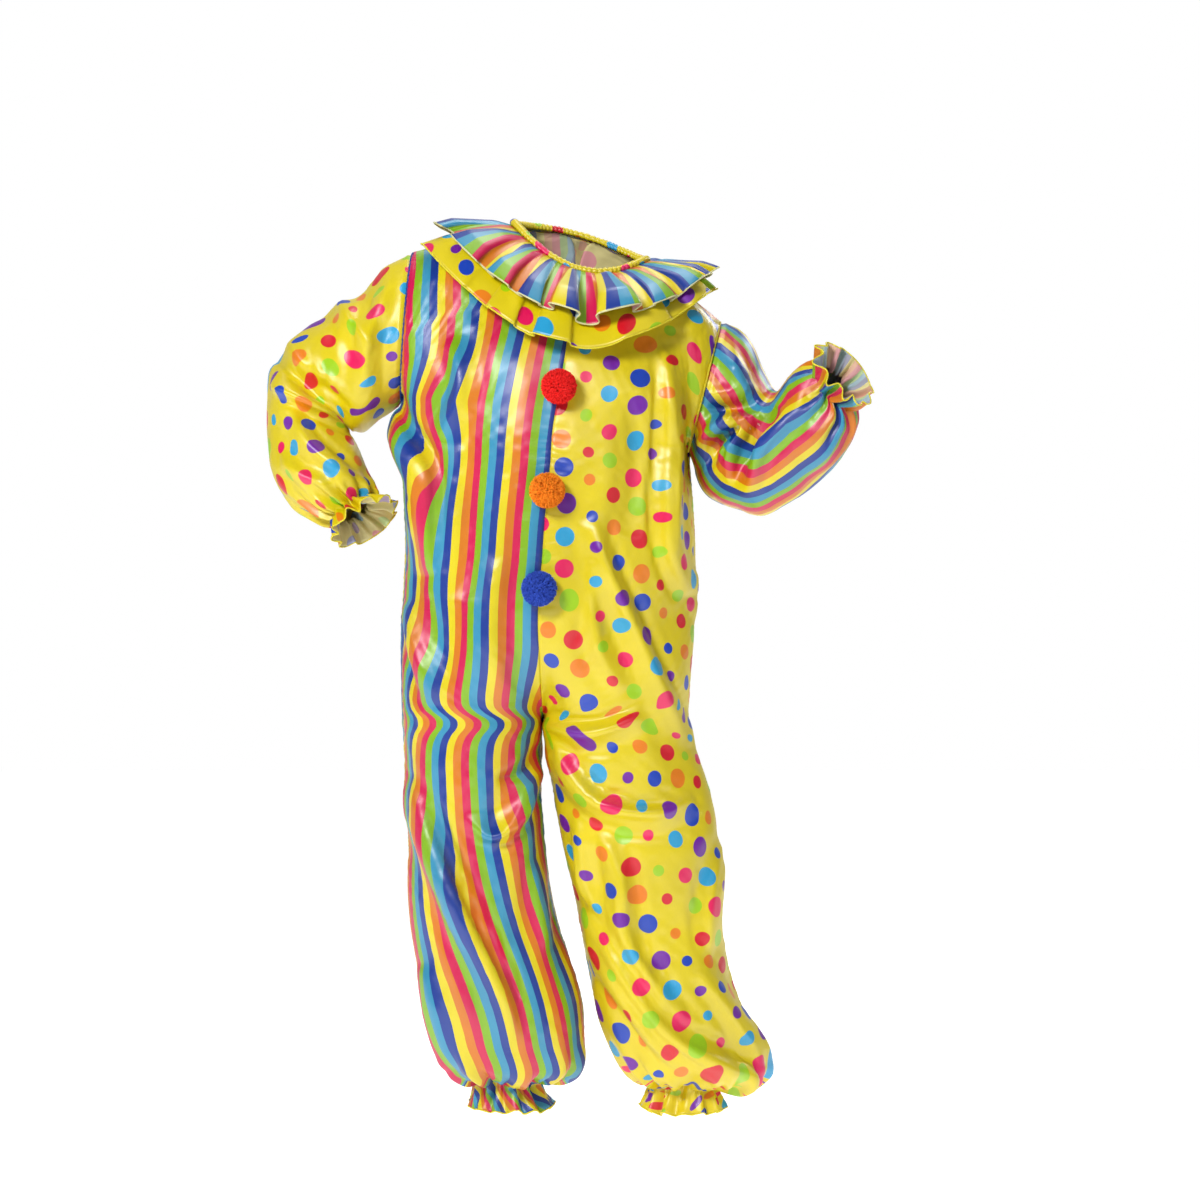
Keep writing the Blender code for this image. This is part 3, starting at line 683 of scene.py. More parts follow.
def dotted_print(tree, u, v):
    """Dots of three sizes in seven colours, on a staggered and slightly uneven grid."""
    cosine, sine = GRID_TURN
    turned_u = maths(tree, "ADD", times(tree, u, cosine), times(tree, v, sine))
    turned_v = maths(tree, "SUBTRACT", times(tree, v, cosine), times(tree, u, sine))
    down = maths(tree, "DIVIDE", turned_v, DOT_GRID)
    line = maths(tree, "FLOOR", down)
    along = maths(tree, "ADD", maths(tree, "DIVIDE", turned_u, DOT_GRID), times(tree, line, DOT_STAGGER))
    column = maths(tree, "FLOOR", along)
    cell = add(tree, "CombineXYZ", column, line, 0.0).outputs[0]
    chance = add(tree, "TexWhiteNoise", cell, noise_dimensions="2D")
    apart = add(tree, "SeparateColor", chance.outputs[1])
    off_u = maths(tree, "MULTIPLY_ADD", apart.outputs[0], DOT_STRAY, DOT_START)
    off_v = maths(tree, "MULTIPLY_ADD", apart.outputs[1], DOT_STRAY, DOT_START)
    du = maths(tree, "SUBTRACT", maths(tree, "FRACT", along), off_u)
    dv = maths(tree, "SUBTRACT", maths(tree, "FRACT", down), off_v)
    distance = maths(tree, "SQRT", maths(tree, "ADD", times(tree, du, du), times(tree, dv, dv)))
    sizes, kinds = len(DOT_RADII), len(DOT_COLOURS)
    size = maths(tree, "FLOORED_MODULO", maths(tree, "MULTIPLY_ADD", line, 2.0, column), float(sizes))
    radius = steps_of(tree, one_of(tree, size, sizes), [(share,) * 3 for share in DOT_RADII])
    order = maths(tree, "MULTIPLY_ADD", line, 3.0, times(tree, column, 2.0))
    kind = maths(tree, "FLOORED_MODULO", order, float(kinds))
    colour = steps_of(tree, one_of(tree, kind, kinds), DOT_COLOURS)
    inside = maths(tree, "MULTIPLY_ADD", maths(tree, "SUBTRACT", radius, distance), DOT_EDGE, 0.5)
    share = add(tree, "Clamp", inside).outputs[0]
    return mixed(tree, share, DOT_YELLOW, colour)


WASH = (0.80, 0.78, 0.70)
WASH_SHARE = 0.42  # how far the wrong side is paled
SATURATION = 1.06
SHADE, THREAD_SHADE = (0.22, 0.79), (0.16, 0.92)  # how the brightness varies: its range and its least
THREADS_A_METRE = (2600.0, 160.0)  # across the floats of the satin and along them
WEAVE = (0.00042, 0.0021)
CRUMPLES_A_METRE = 34.0
Bump = namedtuple("Bump", "strength depth")
WEAVE_BUMP, CRUMPLE_BUMP = Bump(0.18, 0.0003), Bump(0.09, 0.0024)
Finish = namedtuple("Finish", "rough specular anisotropic")
FACE_FINISH, WRONG_FINISH = Finish(0.33, 0.84, 0.70), Finish(0.50, 0.30, 0.30)


def satin(name, print_colour, wrong_side=False):
    """Printed polyester satin: a shiny face of long floats, and a paler and duller wrong side."""
    look = WRONG_FINISH if wrong_side else FACE_FINISH
    material, tree, shader = material_of(
        name, Specular_IOR_Level=look.specular, Anisotropic=look.anisotropic
    )
    flat = add(tree, "UVMap", uv_map="cloth").outputs[0]
    place = add(tree, "SeparateXYZ", flat)
    u, v = place.outputs[0], place.outputs[1]
    colour = print_colour(tree, u, v)
    shade = add(tree, "TexNoise", flat, None, 9.0, 3.0, noise_dimensions="2D")
    value = maths(tree, "MULTIPLY_ADD", shade.outputs[0], *SHADE)
    across, along = THREADS_A_METRE
    threads = add(tree, "CombineXYZ", times(tree, u, across), times(tree, v, along), 0.0)
    slub = add(tree, "TexNoise", threads.outputs[0], None, 1.0, 2.0, noise_dimensions="2D")
    thread_value = maths(tree, "MULTIPLY_ADD", slub.outputs[0], *THREAD_SHADE)
    tone = add(tree, "HueSaturation", 0.5, SATURATION, times(tree, value, thread_value), 1.0, colour)
    finish = tone.outputs[0]
    if wrong_side:
        finish = mixed(tree, WASH_SHARE, finish, WASH)
    tree.links.new(finish, shader.inputs["Base Color"])
    weave_u, weave_v = (
        maths(tree, "SINE", times(tree, way, 2 * math.pi / pitch)) for way, pitch in zip((u, v), WEAVE)
    )
    weave = times(tree, weave_u, weave_v)
    height = maths(tree, "ADD", times(tree, weave, 0.18), slub.outputs[0])
    bump = add(tree, "Bump", *WEAVE_BUMP, None, height)
    noise = (CRUMPLES_A_METRE, 2.0, 0.50, 2.0, 0.6)
    crumple = add(tree, "TexNoise", flat, None, *noise, noise_dimensions="2D")
    soft = add(tree, "Bump", *CRUMPLE_BUMP, None, crumple.outputs[0])
    tree.links.new(soft.outputs[0], bump.inputs["Normal"])
    tree.links.new(bump.outputs[0], shader.inputs["Normal"])
    rough = maths(tree, "MULTIPLY_ADD", slub.outputs[0], 0.15, look.rough)
    tree.links.new(rough, shader.inputs["Roughness"])
    grain = add(tree, "Tangent", direction_type="UV_MAP", uv_map="cloth")
    tree.links.new(grain.outputs[0], shader.inputs["Tangent"])
    return material


SATIN = {
    name: (satin(f"satin_{name}", colour), satin(f"satin_{name}_wrong_side", colour, True))
    for name, colour in [("striped", striped_print), ("dotted", dotted_print)]
}
PRINT = {RIGHT: "striped", LEFT: "dotted"}

GRAIN_FROM_SEAM = {RIGHT: -0.1115, LEFT: 0.129}
INSET_EASE = 14
PRINT_START = 0.004  # where in its print each panel's middle seam is
BACK_PRINT = (0.0, 0.067)
LEG_FULLNESS = 0.86  # how much of the leg's full width is still drawn in at the foot


def grain_line(side, z):
    """The x of one side's grain line: beside the middle seam, then down the middle of the leg."""
    legs = [(ring.z, (ring.x_outer + ring.x_inner) / 2) for ring in LEGS[side]]
    seam = [(ring.z, ring.x_seam) for ring in TORSO] + [(NECK_LIFT - NECK_FRONT_DIP, 0.0)]
    line = sorted(legs + [(height, x + GRAIN_FROM_SEAM[side]) for height, x in seam])
    return np.interp(z, [height for height, _ in line], [x for _, x in line])


def panel_uv(grid, side, face):
    """The place of each point on the flat cloth: u across the grain line and v down it."""
    rows, columns = grid.shape[:2]
    step, fall = np.diff(grid, axis=1), np.diff(grid, axis=0)
    arc = np.zeros((rows, columns))
    arc[:, 1:] = np.cumsum(np.linalg.norm(step, axis=2), axis=1)
    level = np.zeros((rows, columns))
    level[:, 1:] = np.cumsum(np.hypot(step[..., 0], step[..., 1]), axis=1)
    top = int(np.argmin(np.abs(grid[:, 0, 2] - TORSO[0].z)))
    neck = int(np.argmin(np.abs(grid[:top, 0, 0])))
    across = arc.copy()
    across[:top] = level[:top]
    across[:neck] += np.abs(grid[:neck, 0, 0])[:, None]
    middle_z = grid[:, columns // 2, 2]
    line_x = grain_line(side, middle_z)
    inset = np.array([
        np.interp(side * x, side * row[:, 0], found) for x, row, found in zip(line_x, grid, across)
    ])
    inset[:top] = abs(GRAIN_FROM_SEAM[side])
    soften(inset, INSET_EASE)
    gathered = LEG_FULLNESS * np.maximum.accumulate(arc[:, -1]) / arc[:, -1]
    fullness = np.where(middle_z < GATHER_Z, np.maximum(1.0, gathered), 1.0)
    slant = np.arctan(np.gradient(line_x, -middle_z))[:, None]
    reach = (across - inset[:, None]) * fullness[:, None]
    u = reach * np.cos(slant) + abs(GRAIN_FROM_SEAM[side]) + PRINT_START
    down = np.zeros((rows, columns))
    down[1:] = np.cumsum(np.hypot(fall[..., 1], fall[..., 2]), axis=0)
    v = down - down[top] - (grid[top, :, 2] - grid[top, 0, 2]) + reach * np.sin(slant)
    uv = np.stack([u, v], axis=-1)
    if face == BACK:
        uv += BACK_PRINT if side == RIGHT else BACK_PRINT[::-1]
    return uv


def panel_layout():
    """How far down the rows of every panel are read, so that they meet along their seams."""
    knots = knots_of(panel_rows(RIGHT, FRONT))
    return np.linspace(0.0, knots[-1], int(knots[-1] / PANEL_ROW) + 1), knots


def rough_panel(side, face):
    places, knots = panel_layout()
    return curved(panel_rows(side, face), knots, places)


def settled(grids, holds, slack, frames):
    """Grids of cloth, joined where they meet, after they are let loose with a little more cloth in them.

    holds says how firmly each point keeps its place: 1 is sewn or elasticated down and 0 is free. slack is
    the share by which the cloth is larger than the form, in x, y and z.
    """
    spots = np.concatenate([grid.reshape(-1, 3) for grid, _ in grids])
    grip = np.concatenate([hold.reshape(-1) for hold in holds])
    _, first, index = np.unique(np.round(spots, 4), axis=0, return_index=True, return_inverse=True)
    index = index.reshape(-1)
    strongest = np.zeros(len(first))
    np.maximum.at(strongest, index, grip)
    quads, start = [], 0
    for grid, closed in grids:
        quads.append(index[start + quads_of(*grid.shape[:2], closed, False)])
        start += grid.shape[0] * grid.shape[1]
    quads = [quad for quad in np.concatenate(quads).tolist() if len(set(quad)) == 4]
    obj = linked("settling", mesh_of("settling", spots[first], np.array(quads)))
    scene = bpy.context.scene
    obj.shape_key_add(name="form")
    larger = obj.shape_key_add(name="larger")
    larger.data.foreach_set("co", (spots[first] * (1 + np.array(slack))).astype(np.float32).ravel())
    group = obj.vertex_groups.new(name="hold")
    for k, weight in enumerate(strongest):
        group.add([k], float(weight), "REPLACE")
    cloth = obj.modifiers.new("cloth", "CLOTH")
    cloth.point_cache.frame_start, cloth.point_cache.frame_end = 1, frames
    rules = cloth.settings
    rules.quality, rules.mass, rules.air_damping = 6, 0.1, 2.0
    rules.tension_stiffness = rules.compression_stiffness = 12.0
    rules.shear_stiffness, rules.bending_stiffness = 4.0, 30.0
    rules.vertex_group_mass, rules.pin_stiffness = "hold", 0.6
    rules.rest_shape_key = larger
    rules.effector_weights.gravity = 0.04
    for step in range(1, frames + 1):
        scene.frame_set(step)
    shape = obj.evaluated_get(bpy.context.evaluated_depsgraph_get()).to_mesh()
    moved = np.empty(len(first) * 3, np.float32)
    shape.vertices.foreach_get("co", moved)
    bpy.data.objects.remove(obj)
    scene.frame_set(1)
    shift = moved.reshape(-1, 3) - spots[first]
    far = np.linalg.norm(shift, axis=1, keepdims=True)
    shift *= MOST_SHIFT * np.tanh(far / MOST_SHIFT) / np.maximum(far, TINY)
    spots = spots + shift[index]
    cuts = np.cumsum([grid.shape[0] * grid.shape[1] for grid, _ in grids])[:-1]
    return [part.reshape(grid.shape) for part, (grid, _) in zip(np.split(spots, cuts), grids)]


SEAM_HOLD = 0.85


def panel_hold(side, rough):
    """How firmly a panel is held: sewn at the neck, shoulder and armhole, and drawn in above the foot."""
    z = rough[..., 2]
    hold = np.full(z.shape, FREE_HOLD)
    yoke = int(np.argmin(np.abs(rough[:, 0, 2] - TORSO[0].z)))
    hold[:yoke, 0] = 1.0
    hold[:, 0] = np.maximum(hold[:, 0], SEAM_HOLD)
    hold[: yoke + 1, -1] = 1.0
    hold[:2] = 1.0
    hold[z < LEGS[side][-4].z - 0.002] = 1.0
    return hold


SEAM_SHARE = 0.06  # the share of a panel's width that its seams hold flat
SEWN_REACH = 0.03  # how far a shoulder or armhole seam holds the cloth flat


def off_seams(grid):
    """1 over a panel, fading to 0 where it is sewn down both sides and along the shoulder."""
    share = np.linspace(0.0, 1.0, grid.shape[1])[None, :]
    edge = np.clip(np.minimum(share, 1 - share) / SEAM_SHARE, 0, 1)
    steps = np.linalg.norm(np.diff(grid, axis=0), axis=2).mean(axis=1)
    run = np.concatenate([[0.0], np.cumsum(steps)])[:, None]
    return smooth_step(edge) * smooth_step(np.clip(run / SEWN_REACH, 0, 1))


def sharp(creases):
    """The same creases, narrow, for the fold along the top of each once the cloth has settled."""
    return [crease._replace(width=SHARP_WIDTH * crease.width) for crease in creases]


Swell = namedtuple("Swell", "size height")
PANEL_SWELL, PANEL_FINE_SWELL = Swell(0.11, 0.0022), Swell(0.050, 0.0003)
ANKLE_FRILL, ANKLE_FRILL_FOLDS = 0.0065, 13


def creased_panel(side, face, rough):
    """The panel with its creases and soft swells in it."""
    push = CREASE_SCALE * crease_push(rough[..., 0], rough[..., 2], CREASES[side, face])
    push += ripples(rough, 5 + 2 * side + face, *PANEL_SWELL)
    return rough + outward(rough, False, side * face < 0) * (off_seams(rough) * push)[..., None]


def finished_panel(side, face, rough, uv):
    """The panel's fine surface, with its gathers above the foot and its puckered seams."""
    flip = side * face < 0
    grid, uv = finer(rough, False), finer(uv, False)
    share = np.linspace(0.0, 1.0, grid.shape[1])[None, :]
    edge = off_seams(grid)
    x, z = grid[..., 0], grid[..., 2]
    normal = outward(grid, False, flip)
    push = edge * ripples(grid, 25 + 2 * side + face, *PANEL_FINE_SWELL)
    push += SHARP_SCALE * edge * crease_push(x, z, sharp(CREASES[side, face]))
    elastic = LEGS[side][-3].z
    turn = face * math.pi * (share - 0.5) + (0 if side == RIGHT else 2)
    push += gathers(turn, np.abs(z - elastic), 40 + side)
    frill = np.clip((elastic - z) / (elastic - LEGS[side][-1].z), 0, 1)
    push += ANKLE_FRILL * frill * np.sin(ANKLE_FRILL_FOLDS * turn + 0.8 * np.sin(3 * turn))
    run = np.cumsum(np.full(len(grid), PANEL_ROW / FINER))[:, None]
    width = np.linalg.norm(np.diff(grid, axis=1), axis=2).sum(axis=1)[:, None]
    push += seam_pucker(run, share * width, side + face)
    push += seam_pucker(run, (1 - share) * width, 3 + side + face)
    grid = grid + normal * push[..., None]
    grid[..., 0] += side * MIDDLE_SEAM
    grid[..., 1] += face * SIDE_SEAM
    for row in DRAG_ROWS.get((side, face), []):
        drag = Drag(*(size / 1000 for size in row))
        near = np.exp(-(((x - drag.x) / drag.reach_x) ** 2) - ((z - drag.z) / drag.reach_z) ** 2)
        uv[..., 0] += drag.shift * near * edge
    return grid, uv, flip


SETTLING_FRAMES = 44
surfaces = {}
PANELS = [(side, face) for side in (RIGHT, LEFT) for face in (FRONT, BACK)]
roughs = [rough_panel(side, face) for side, face in PANELS]
loose = [creased_panel(side, face, rough) for (side, face), rough in zip(PANELS, roughs)]
holds = [panel_hold(side, rough) for (side, _), rough in zip(PANELS, roughs)]
loose = settled([(grid, False) for grid in loose], holds, PANEL_SLACK, SETTLING_FRAMES)
for (side, face), rough, relaxed in zip(PANELS, roughs, loose):
    grid, uv, flip = finished_panel(side, face, relaxed, panel_uv(rough, side, face))
    name = f"{FACE_NAMES[face]}_{SIDE_NAMES[side]}"
    cloth = PRINT[side]
    piece = cloth_piece(f"{name}_panel", grid, uv, False, flip, *SATIN[cloth], name, f"satin_{cloth}")
    surfaces[name] = (grid, False, flip)

# ---------------------------------------------------------------- the sleeves
# Full sleeves with a low set-in top, dotted on the right arm and striped on the left, gathered into elastic
# at the wrist with a frill below it.

SLEEVE_COLUMNS = 56
SLEEVE_ROW = 0.0125
SLEEVE_SLACK = (0.034, 0.034, 0.034)
ARMHOLE_SEAM = 0.0003
ARMHOLE_TUCK = 0.007  # how far the sleeve's seam allowance goes in under the panels
CUFF_ROWS = 3
SLEEVE_FULLNESS = 0.80
SLEEVE_PRINT = 0.31  # where in its print the top of each sleeve is
SLEEVE_FRAMES = 34
SLEEVE_SWELL, SLEEVE_FINE_SWELL = Swell(0.085, 0.0022), Swell(0.045, 0.0003)
SLEEVE_RADIUS = 0.11
CUFF_FRILL, CUFF_FRILL_FOLDS = 0.0060, 10
TURNED_IN = 0.030  # how much smaller the first rows are, so that the panels cover them

SLEEVE_CREASES = creases_of({
    (RIGHT, FRONT): [
        (13, -15, 0.3, [(-512, -172), (-474, -211), (-414, -256), (-373, -294)]),
        (13, 11, 0.3, [(-515, -224), (-464, -246), (-401, -274), (-370, -297)]),
        (9, 6, 0, [(-469, -214), (-436, -232), (-388, -275)]),
        (15, 10, -0.2, [(-478, -256), (-439, -323), (-391, -366), (-343, -399)]),
        (13, 8, 0, [(-488, -346), (-439, -380), (-380, -399)]),
        (18, 8, 0, [(-412, -66), (-363, -132), (-330, -175)]),
        (15, 7, 0, [(-300, -50), (-340, -150), (-350, -240)]),
    ],
    (LEFT, FRONT): [
        (12, -17, 0, [(185, -261), (221, -267), (290, -261)]),
        (11, 14, 0.2, [(191, -325), (229, -300), (277, -287)]),
        (10, -14, 0, [(208, -363), (218, -322), (272, -289)]),
        (12, -20, -0.3, [(251, -389), (259, -343), (277, -309), (317, -270)]),
        (13, 9, 0, [(267, -410), (297, -330), (363, -256)]),
        (14, 9, 0, [(224, -157), (244, -198), (277, -247)]),
    ],
    (RIGHT, BACK): [
        (15, 12, 0.2, [(-500, -180), (-450, -240), (-385, -285)]),
        (13, 9, 0, [(-320, -80), (-350, -180), (-365, -270)]),
        (13, 9, 0, [(-495, -290), (-440, -350), (-370, -395)]),
    ],
    (LEFT, BACK): [
        (14, 11, 0.2, [(230, -190), (245, -280), (260, -380)]),
        (12, -10, 0, [(210, -370), (270, -330), (330, -270)]),
        (13, 9, 0, [(300, -400), (350, -320), (385, -240)]),
    ],
})


def sleeve_rings(side):
    rings = []
    angle = 2 * math.pi * np.arange(SLEEVE_COLUMNS)[:, None] / SLEEVE_COLUMNS
    for ring in SLEEVES[side]:
        top = np.array([ring.x_top, ring.y_mid, ring.z_top])
        bottom = np.array([ring.x_bottom, ring.y_mid, ring.z_bottom])
        middle, reach = (top + bottom) / 2, (top - bottom) / 2
        onward = np.array([side * reach[2], 0.0, -side * reach[0]]) / np.linalg.norm(reach)
        turn = math.radians(ring.turn)
        forward = np.array([0.0, -math.cos(turn), 0.0]) - onward * math.sin(turn)
        rings.append(middle + reach * np.cos(angle) + forward * ring.half_depth * np.sin(angle))
    return np.array(rings)


def sleeve_uv(grid):
    """The flat sleeve: u round it, from the seam under the arm, and v down it from the armhole."""
    columns = grid.shape[1]
    girth = np.linalg.norm(grid - np.roll(grid, 1, axis=1), axis=2).sum(axis=1)
    gathered = np.maximum(girth, SLEEVE_FULLNESS * girth.max())
    turn = (np.arange(columns) / columns - 0.5)[None, :]
    middle = grid.mean(axis=1)
    along = soften(unit(np.gradient(middle, axis=0)), 12)
    v = run_along(middle)[:, None] + np.einsum("ijk,ik->ij", grid - middle[:, None], along)
    return np.stack([turn * gathered[:, None] + SLEEVE_PRINT, np.maximum.accumulate(v, axis=0)], axis=-1)


def facing_front(normal):
    """1 where the cloth faces the front and 0 where it faces the back, with a soft change between."""
    return 1 / (1 + np.exp(14 * normal[..., 1]))


def creased_sleeve(side, rough):
    normal = outward(rough, True, side == RIGHT)
    x, z = rough[..., 0], rough[..., 2]
    facing = facing_front(normal)
    push = CREASE_SCALE * facing * crease_push(x, z, SLEEVE_CREASES[side, FRONT])
    push += CREASE_SCALE * (1 - facing) * crease_push(x, z, SLEEVE_CREASES[side, BACK])
    push += ripples(rough, 71 + side, *SLEEVE_SWELL)
    edge = np.clip(np.arange(len(rough)) / 3, 0, 1)[:, None]
    return rough + normal * (edge * push)[..., None]


for side in (RIGHT, LEFT):
    rings = sleeve_rings(side)
    knots = knots_of(rings)
    rough = curved(rings, knots, np.linspace(0.0, knots[-1], int(knots[-1] / SLEEVE_ROW) + 1))
    flip = side == RIGHT
    relaxed = creased_sleeve(side, rough)
    hold = np.full(rough.shape[:2], FREE_HOLD)
    hold[:2] = hold[-4:] = 1.0
    relaxed = settled([(relaxed, True)], [hold], SLEEVE_SLACK, SLEEVE_FRAMES)[0]
    grid = finer(relaxed, True)
    columns = grid.shape[1]
    turn = 2 * math.pi * np.arange(columns)[None, :] / columns
    uv = sleeve_uv(finer(rough, True))
    normal = outward(grid, True, flip)
    x, z = grid[..., 0], grid[..., 2]
    run = np.linspace(0.0, knots[-1], len(grid))[:, None]
    edge = np.clip(run / SEWN_REACH, 0, 1)
    push = edge * ripples(grid, 81 + side, *SLEEVE_FINE_SWELL)
    top_folds = crease_push(x, z, sharp(SLEEVE_CREASES[side, FRONT]))
    push += SHARP_SCALE * edge * facing_front(normal) * top_folds
    elastic = knots[-CUFF_ROWS]
    push += gathers(turn, np.abs(run - elastic), 90 + side)
    frill = np.clip((run - elastic) / (knots[-1] - elastic), 0, 1)
    push += CUFF_FRILL * frill * np.sin(CUFF_FRILL_FOLDS * turn + 0.9 * np.sin(2 * turn + side))
    push += seam_pucker(turn * SLEEVE_RADIUS, run + 0 * turn, 7 + side)
    grid = grid + normal * push[..., None]
    grid[..., 0] += side * ARMHOLE_SEAM
    grid[:2] += TURNED_IN * (grid[:2].mean(axis=1, keepdims=True) - grid[:2])
    grid[0, :, 0] -= side * ARMHOLE_TUCK
    name = f"sleeve_{SIDE_NAMES[side]}"
    cloth = PRINT[-side]
    piece = cloth_piece(f"{name}_cloth", grid, uv, True, flip, *SATIN[cloth], name, f"satin_{cloth}")
    surfaces[name] = (grid, True, flip)

# ---------------------------------------------------------------- the collar
# Two round ruffles gathered into the neck seam, the striped one fuller and shorter and lying on the dotted
# one. Each edge is overlocked in yellow thread. A binding with elastic in it closes over the seam.

Ruffle = namedtuple(
    "Ruffle",
    "name cloth x_mid half_width y_front y_back z_side side_drop front_drop back_drop rise waves wave fold"
    " fine repeats clearance thread",
)
RUFFLES = [
    Ruffle("ruffle_dotted", "dotted", -0.016, 0.225, 0.205, 0.180, -0.038, 0.034, 0.139, 0.030, -0.0030,
           11, 0.0100, 0.52, 0.0024, 17, 0.0030, (0.95, 0.82, 0.02)),
    Ruffle("ruffle_striped", "striped", -0.005, 0.203, 0.190, 0.158, -0.014, 0.038, 0.124, 0.022, 0.0010,
           18, 0.0118, 0.92, 0.0040, 18, 0.0025, (0.82, 0.80, 0.40)),
]
RUFFLE_POINTS = 528
RUFFLE_ROWS = 22
RUFFLE_ARCH = 0.009
RUFFLE_WIDTH = 0.12
HEM_SHARE = 0.7  # how far the print is spaced by the wavy hem, and the rest by the turn round the neck
LIFT_SPREAD, LAST_SPREAD = 60, 4  # rounds of smoothing as a ruffle is lifted clear
LAST_CLEARANCE = 0.0014
LIFT_OUT, LIFT_UP = 0.85, 0.45  # the way in which the folds stand
REST_OUT, REST_UP = 0.6, 0.8  # the way in which a ruffle is lifted clear
GATHER_REACH = 0.28
RAY_START = 0.07  # how far out from a ruffle the cloth below it is looked for


def tree_of(grid, closed, flip):
    quads = quads_of(*grid.shape[:2], closed, flip)
    return BVHTree.FromPolygons(grid.reshape(-1, 3).tolist(), quads.tolist())


def round_soften(lift):
    """Draws each column of a round grid towards its neighbours."""
    return lift / 2 + (np.roll(lift, 1, axis=1) + np.roll(lift, -1, axis=1)) / 4


def short_of_clear(grid, trees, outward_line, clearance):
    """How far each point has to move along its outward line to be clear of what it lies on."""
    short = np.zeros(grid.shape[0] * grid.shape[1])
    lines = np.broadcast_to(outward_line, grid.shape).reshape(-1, 3)
    for k, (spot, line) in enumerate(zip(grid.reshape(-1, 3), lines)):
        for tree in trees:
            _, _, _, down = tree.ray_cast(spot + line * RAY_START, -line, RAY_START + clearance)
            if down is not None:
                short[k] = max(short[k], RAY_START - down + clearance)
    return short.reshape(grid.shape[:2])


def rested(grid, trees, outward_line, clearance, spread):
    """The grid, lifted smoothly until it is clear of what it lies on. Its row at the neck stays."""
    short = short_of_clear(grid, trees, outward_line, clearance)
    lift = short.copy()
    for _ in range(spread):
        lift = np.maximum(soften(round_soften(lift)), short)
    for _ in range(spread // 4):
        lift = round_soften(lift)
    ramp = np.clip(np.arange(len(grid)) / 3, 0, 1)[:, None]
    return grid + outward_line * (lift * ramp)[..., None]


def ruffle_grid(ruffle, trees):
    reach = np.linspace(0.0, 1.0, RUFFLE_ROWS + 1)[:, None]
    angle = 2 * math.pi * np.arange(RUFFLE_POINTS)[None, :] / RUFFLE_POINTS + math.pi
    lilt = 1.2 * np.sin(3 * angle + 1) + 0.8 * np.sin(5 * angle + 2)
    phase = ruffle.waves * angle + lilt
    swing = ruffle.fold * (1 + 0.25 * np.sin(4 * angle)) * reach**0.8 / ruffle.waves
    place = angle + swing * (np.sin(2 * phase) + 0.5 * np.sin(phase))
    sine, cosine = np.sin(place), np.cos(place)
    depth = np.where(cosine > 0, ruffle.y_front, ruffle.y_back)
    drop = np.where(cosine > 0, ruffle.front_drop, ruffle.back_drop)
    z = ruffle.z_side - ruffle.side_drop * sine - drop * cosine * cosine
    edge = points_at(ruffle.x_mid + ruffle.half_width * sine, -depth * cosine, z)
    start = neck_point(place, NECK_EDGE_OUT, ruffle.rise)
    lift = points_at(LIFT_OUT * sine, -LIFT_OUT * cosine, LIFT_UP)
    arch = RUFFLE_ARCH * np.sin(math.pi * reach)
    grid = start + (edge - start) * reach[..., None] + lift * (arch + 0 * sine)[..., None]
    line = points_at(REST_OUT * sine, -REST_OUT * cosine, REST_UP)
    grid = rested(grid, trees, line, ruffle.clearance, LIFT_SPREAD)
    uneven = 1 + 0.35 * np.sin(4 * angle + 0.7) + 0.2 * np.sin(7 * angle)
    gather = np.sin(2 * phase + 1) + 0.7 * np.sin(3 * phase + lilt) + 1.2
    fine = ruffle.fine * uneven * gather * np.exp(-reach / GATHER_REACH) * np.minimum(1, reach * 9)
    wave = ruffle.wave * np.minimum(1, reach * 1.6) * uneven * (1 + np.cos(phase))
    grid = grid + lift * (wave + fine)[..., None]
    return rested(grid, trees, line, LAST_CLEARANCE, LAST_SPREAD), angle, reach


CORD_SIDES = 6
CORD_SWELL = 0.22


def overlocked(name, line, radius, colour, pitch):
    """A raised edge of overlock thread round a line: a cord that swells at each loop of the thread."""
    along = unit(np.roll(line, -1, axis=0) - np.roll(line, 1, axis=0))
    side = unit(np.cross(along, np.array([0.13, 0.21, 0.97])))
    up = np.cross(along, side)
    swell = radius * (1 + CORD_SWELL * np.sin(2 * math.pi * run_along(line) / pitch))
    angle = 2 * math.pi * np.arange(CORD_SIDES) / CORD_SIDES
    grid = (
        line[:, None]
        + side[:, None] * np.cos(angle)[None, :, None] * swell[:, None, None]
        + up[:, None] * np.sin(angle)[None, :, None] * swell[:, None, None]
    )
    last, j = (len(line) - 1) * CORD_SIDES, np.arange(CORD_SIDES)
    k = (j + 1) % CORD_SIDES
    quads = [quads_of(len(line), CORD_SIDES, True, False), np.stack([last + j, last + k, k, j], -1)]
    mesh = mesh_of(name, grid, np.concatenate(quads))
    mesh.materials.append(colour)
    mesh.shade_smooth()
    obj = linked(name, mesh)
    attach(obj, "root")
    return obj


THREAD_LOOPS = 330.0
THREAD_BUMP = Bump(0.6, 0.0006)
THREAD_SHADOW = 0.62


def thread(name, colour):
    """Overlock thread: shiny twisted polyester, laid in close slanting loops."""
    material, tree, shader = material_of(name, Roughness=0.5, Specular_IOR_Level=0.5)
    place = add(tree, "TexCoord").outputs["Object"]
    loops = add(tree, "TexWave", place, THREAD_LOOPS, 4.0, 2.0, 2.0, bands_direction="DIAGONAL")
    # The darker bands are painted shadow in the grooves between the loops.
    dark = tuple(THREAD_SHADOW * part for part in colour)
    tree.links.new(mixed(tree, loops.outputs[1], dark, colour), shader.inputs["Base Color"])
    bump = add(tree, "Bump", *THREAD_BUMP, None, loops.outputs[1])
    tree.links.new(bump.outputs[0], shader.inputs["Normal"])
    return material


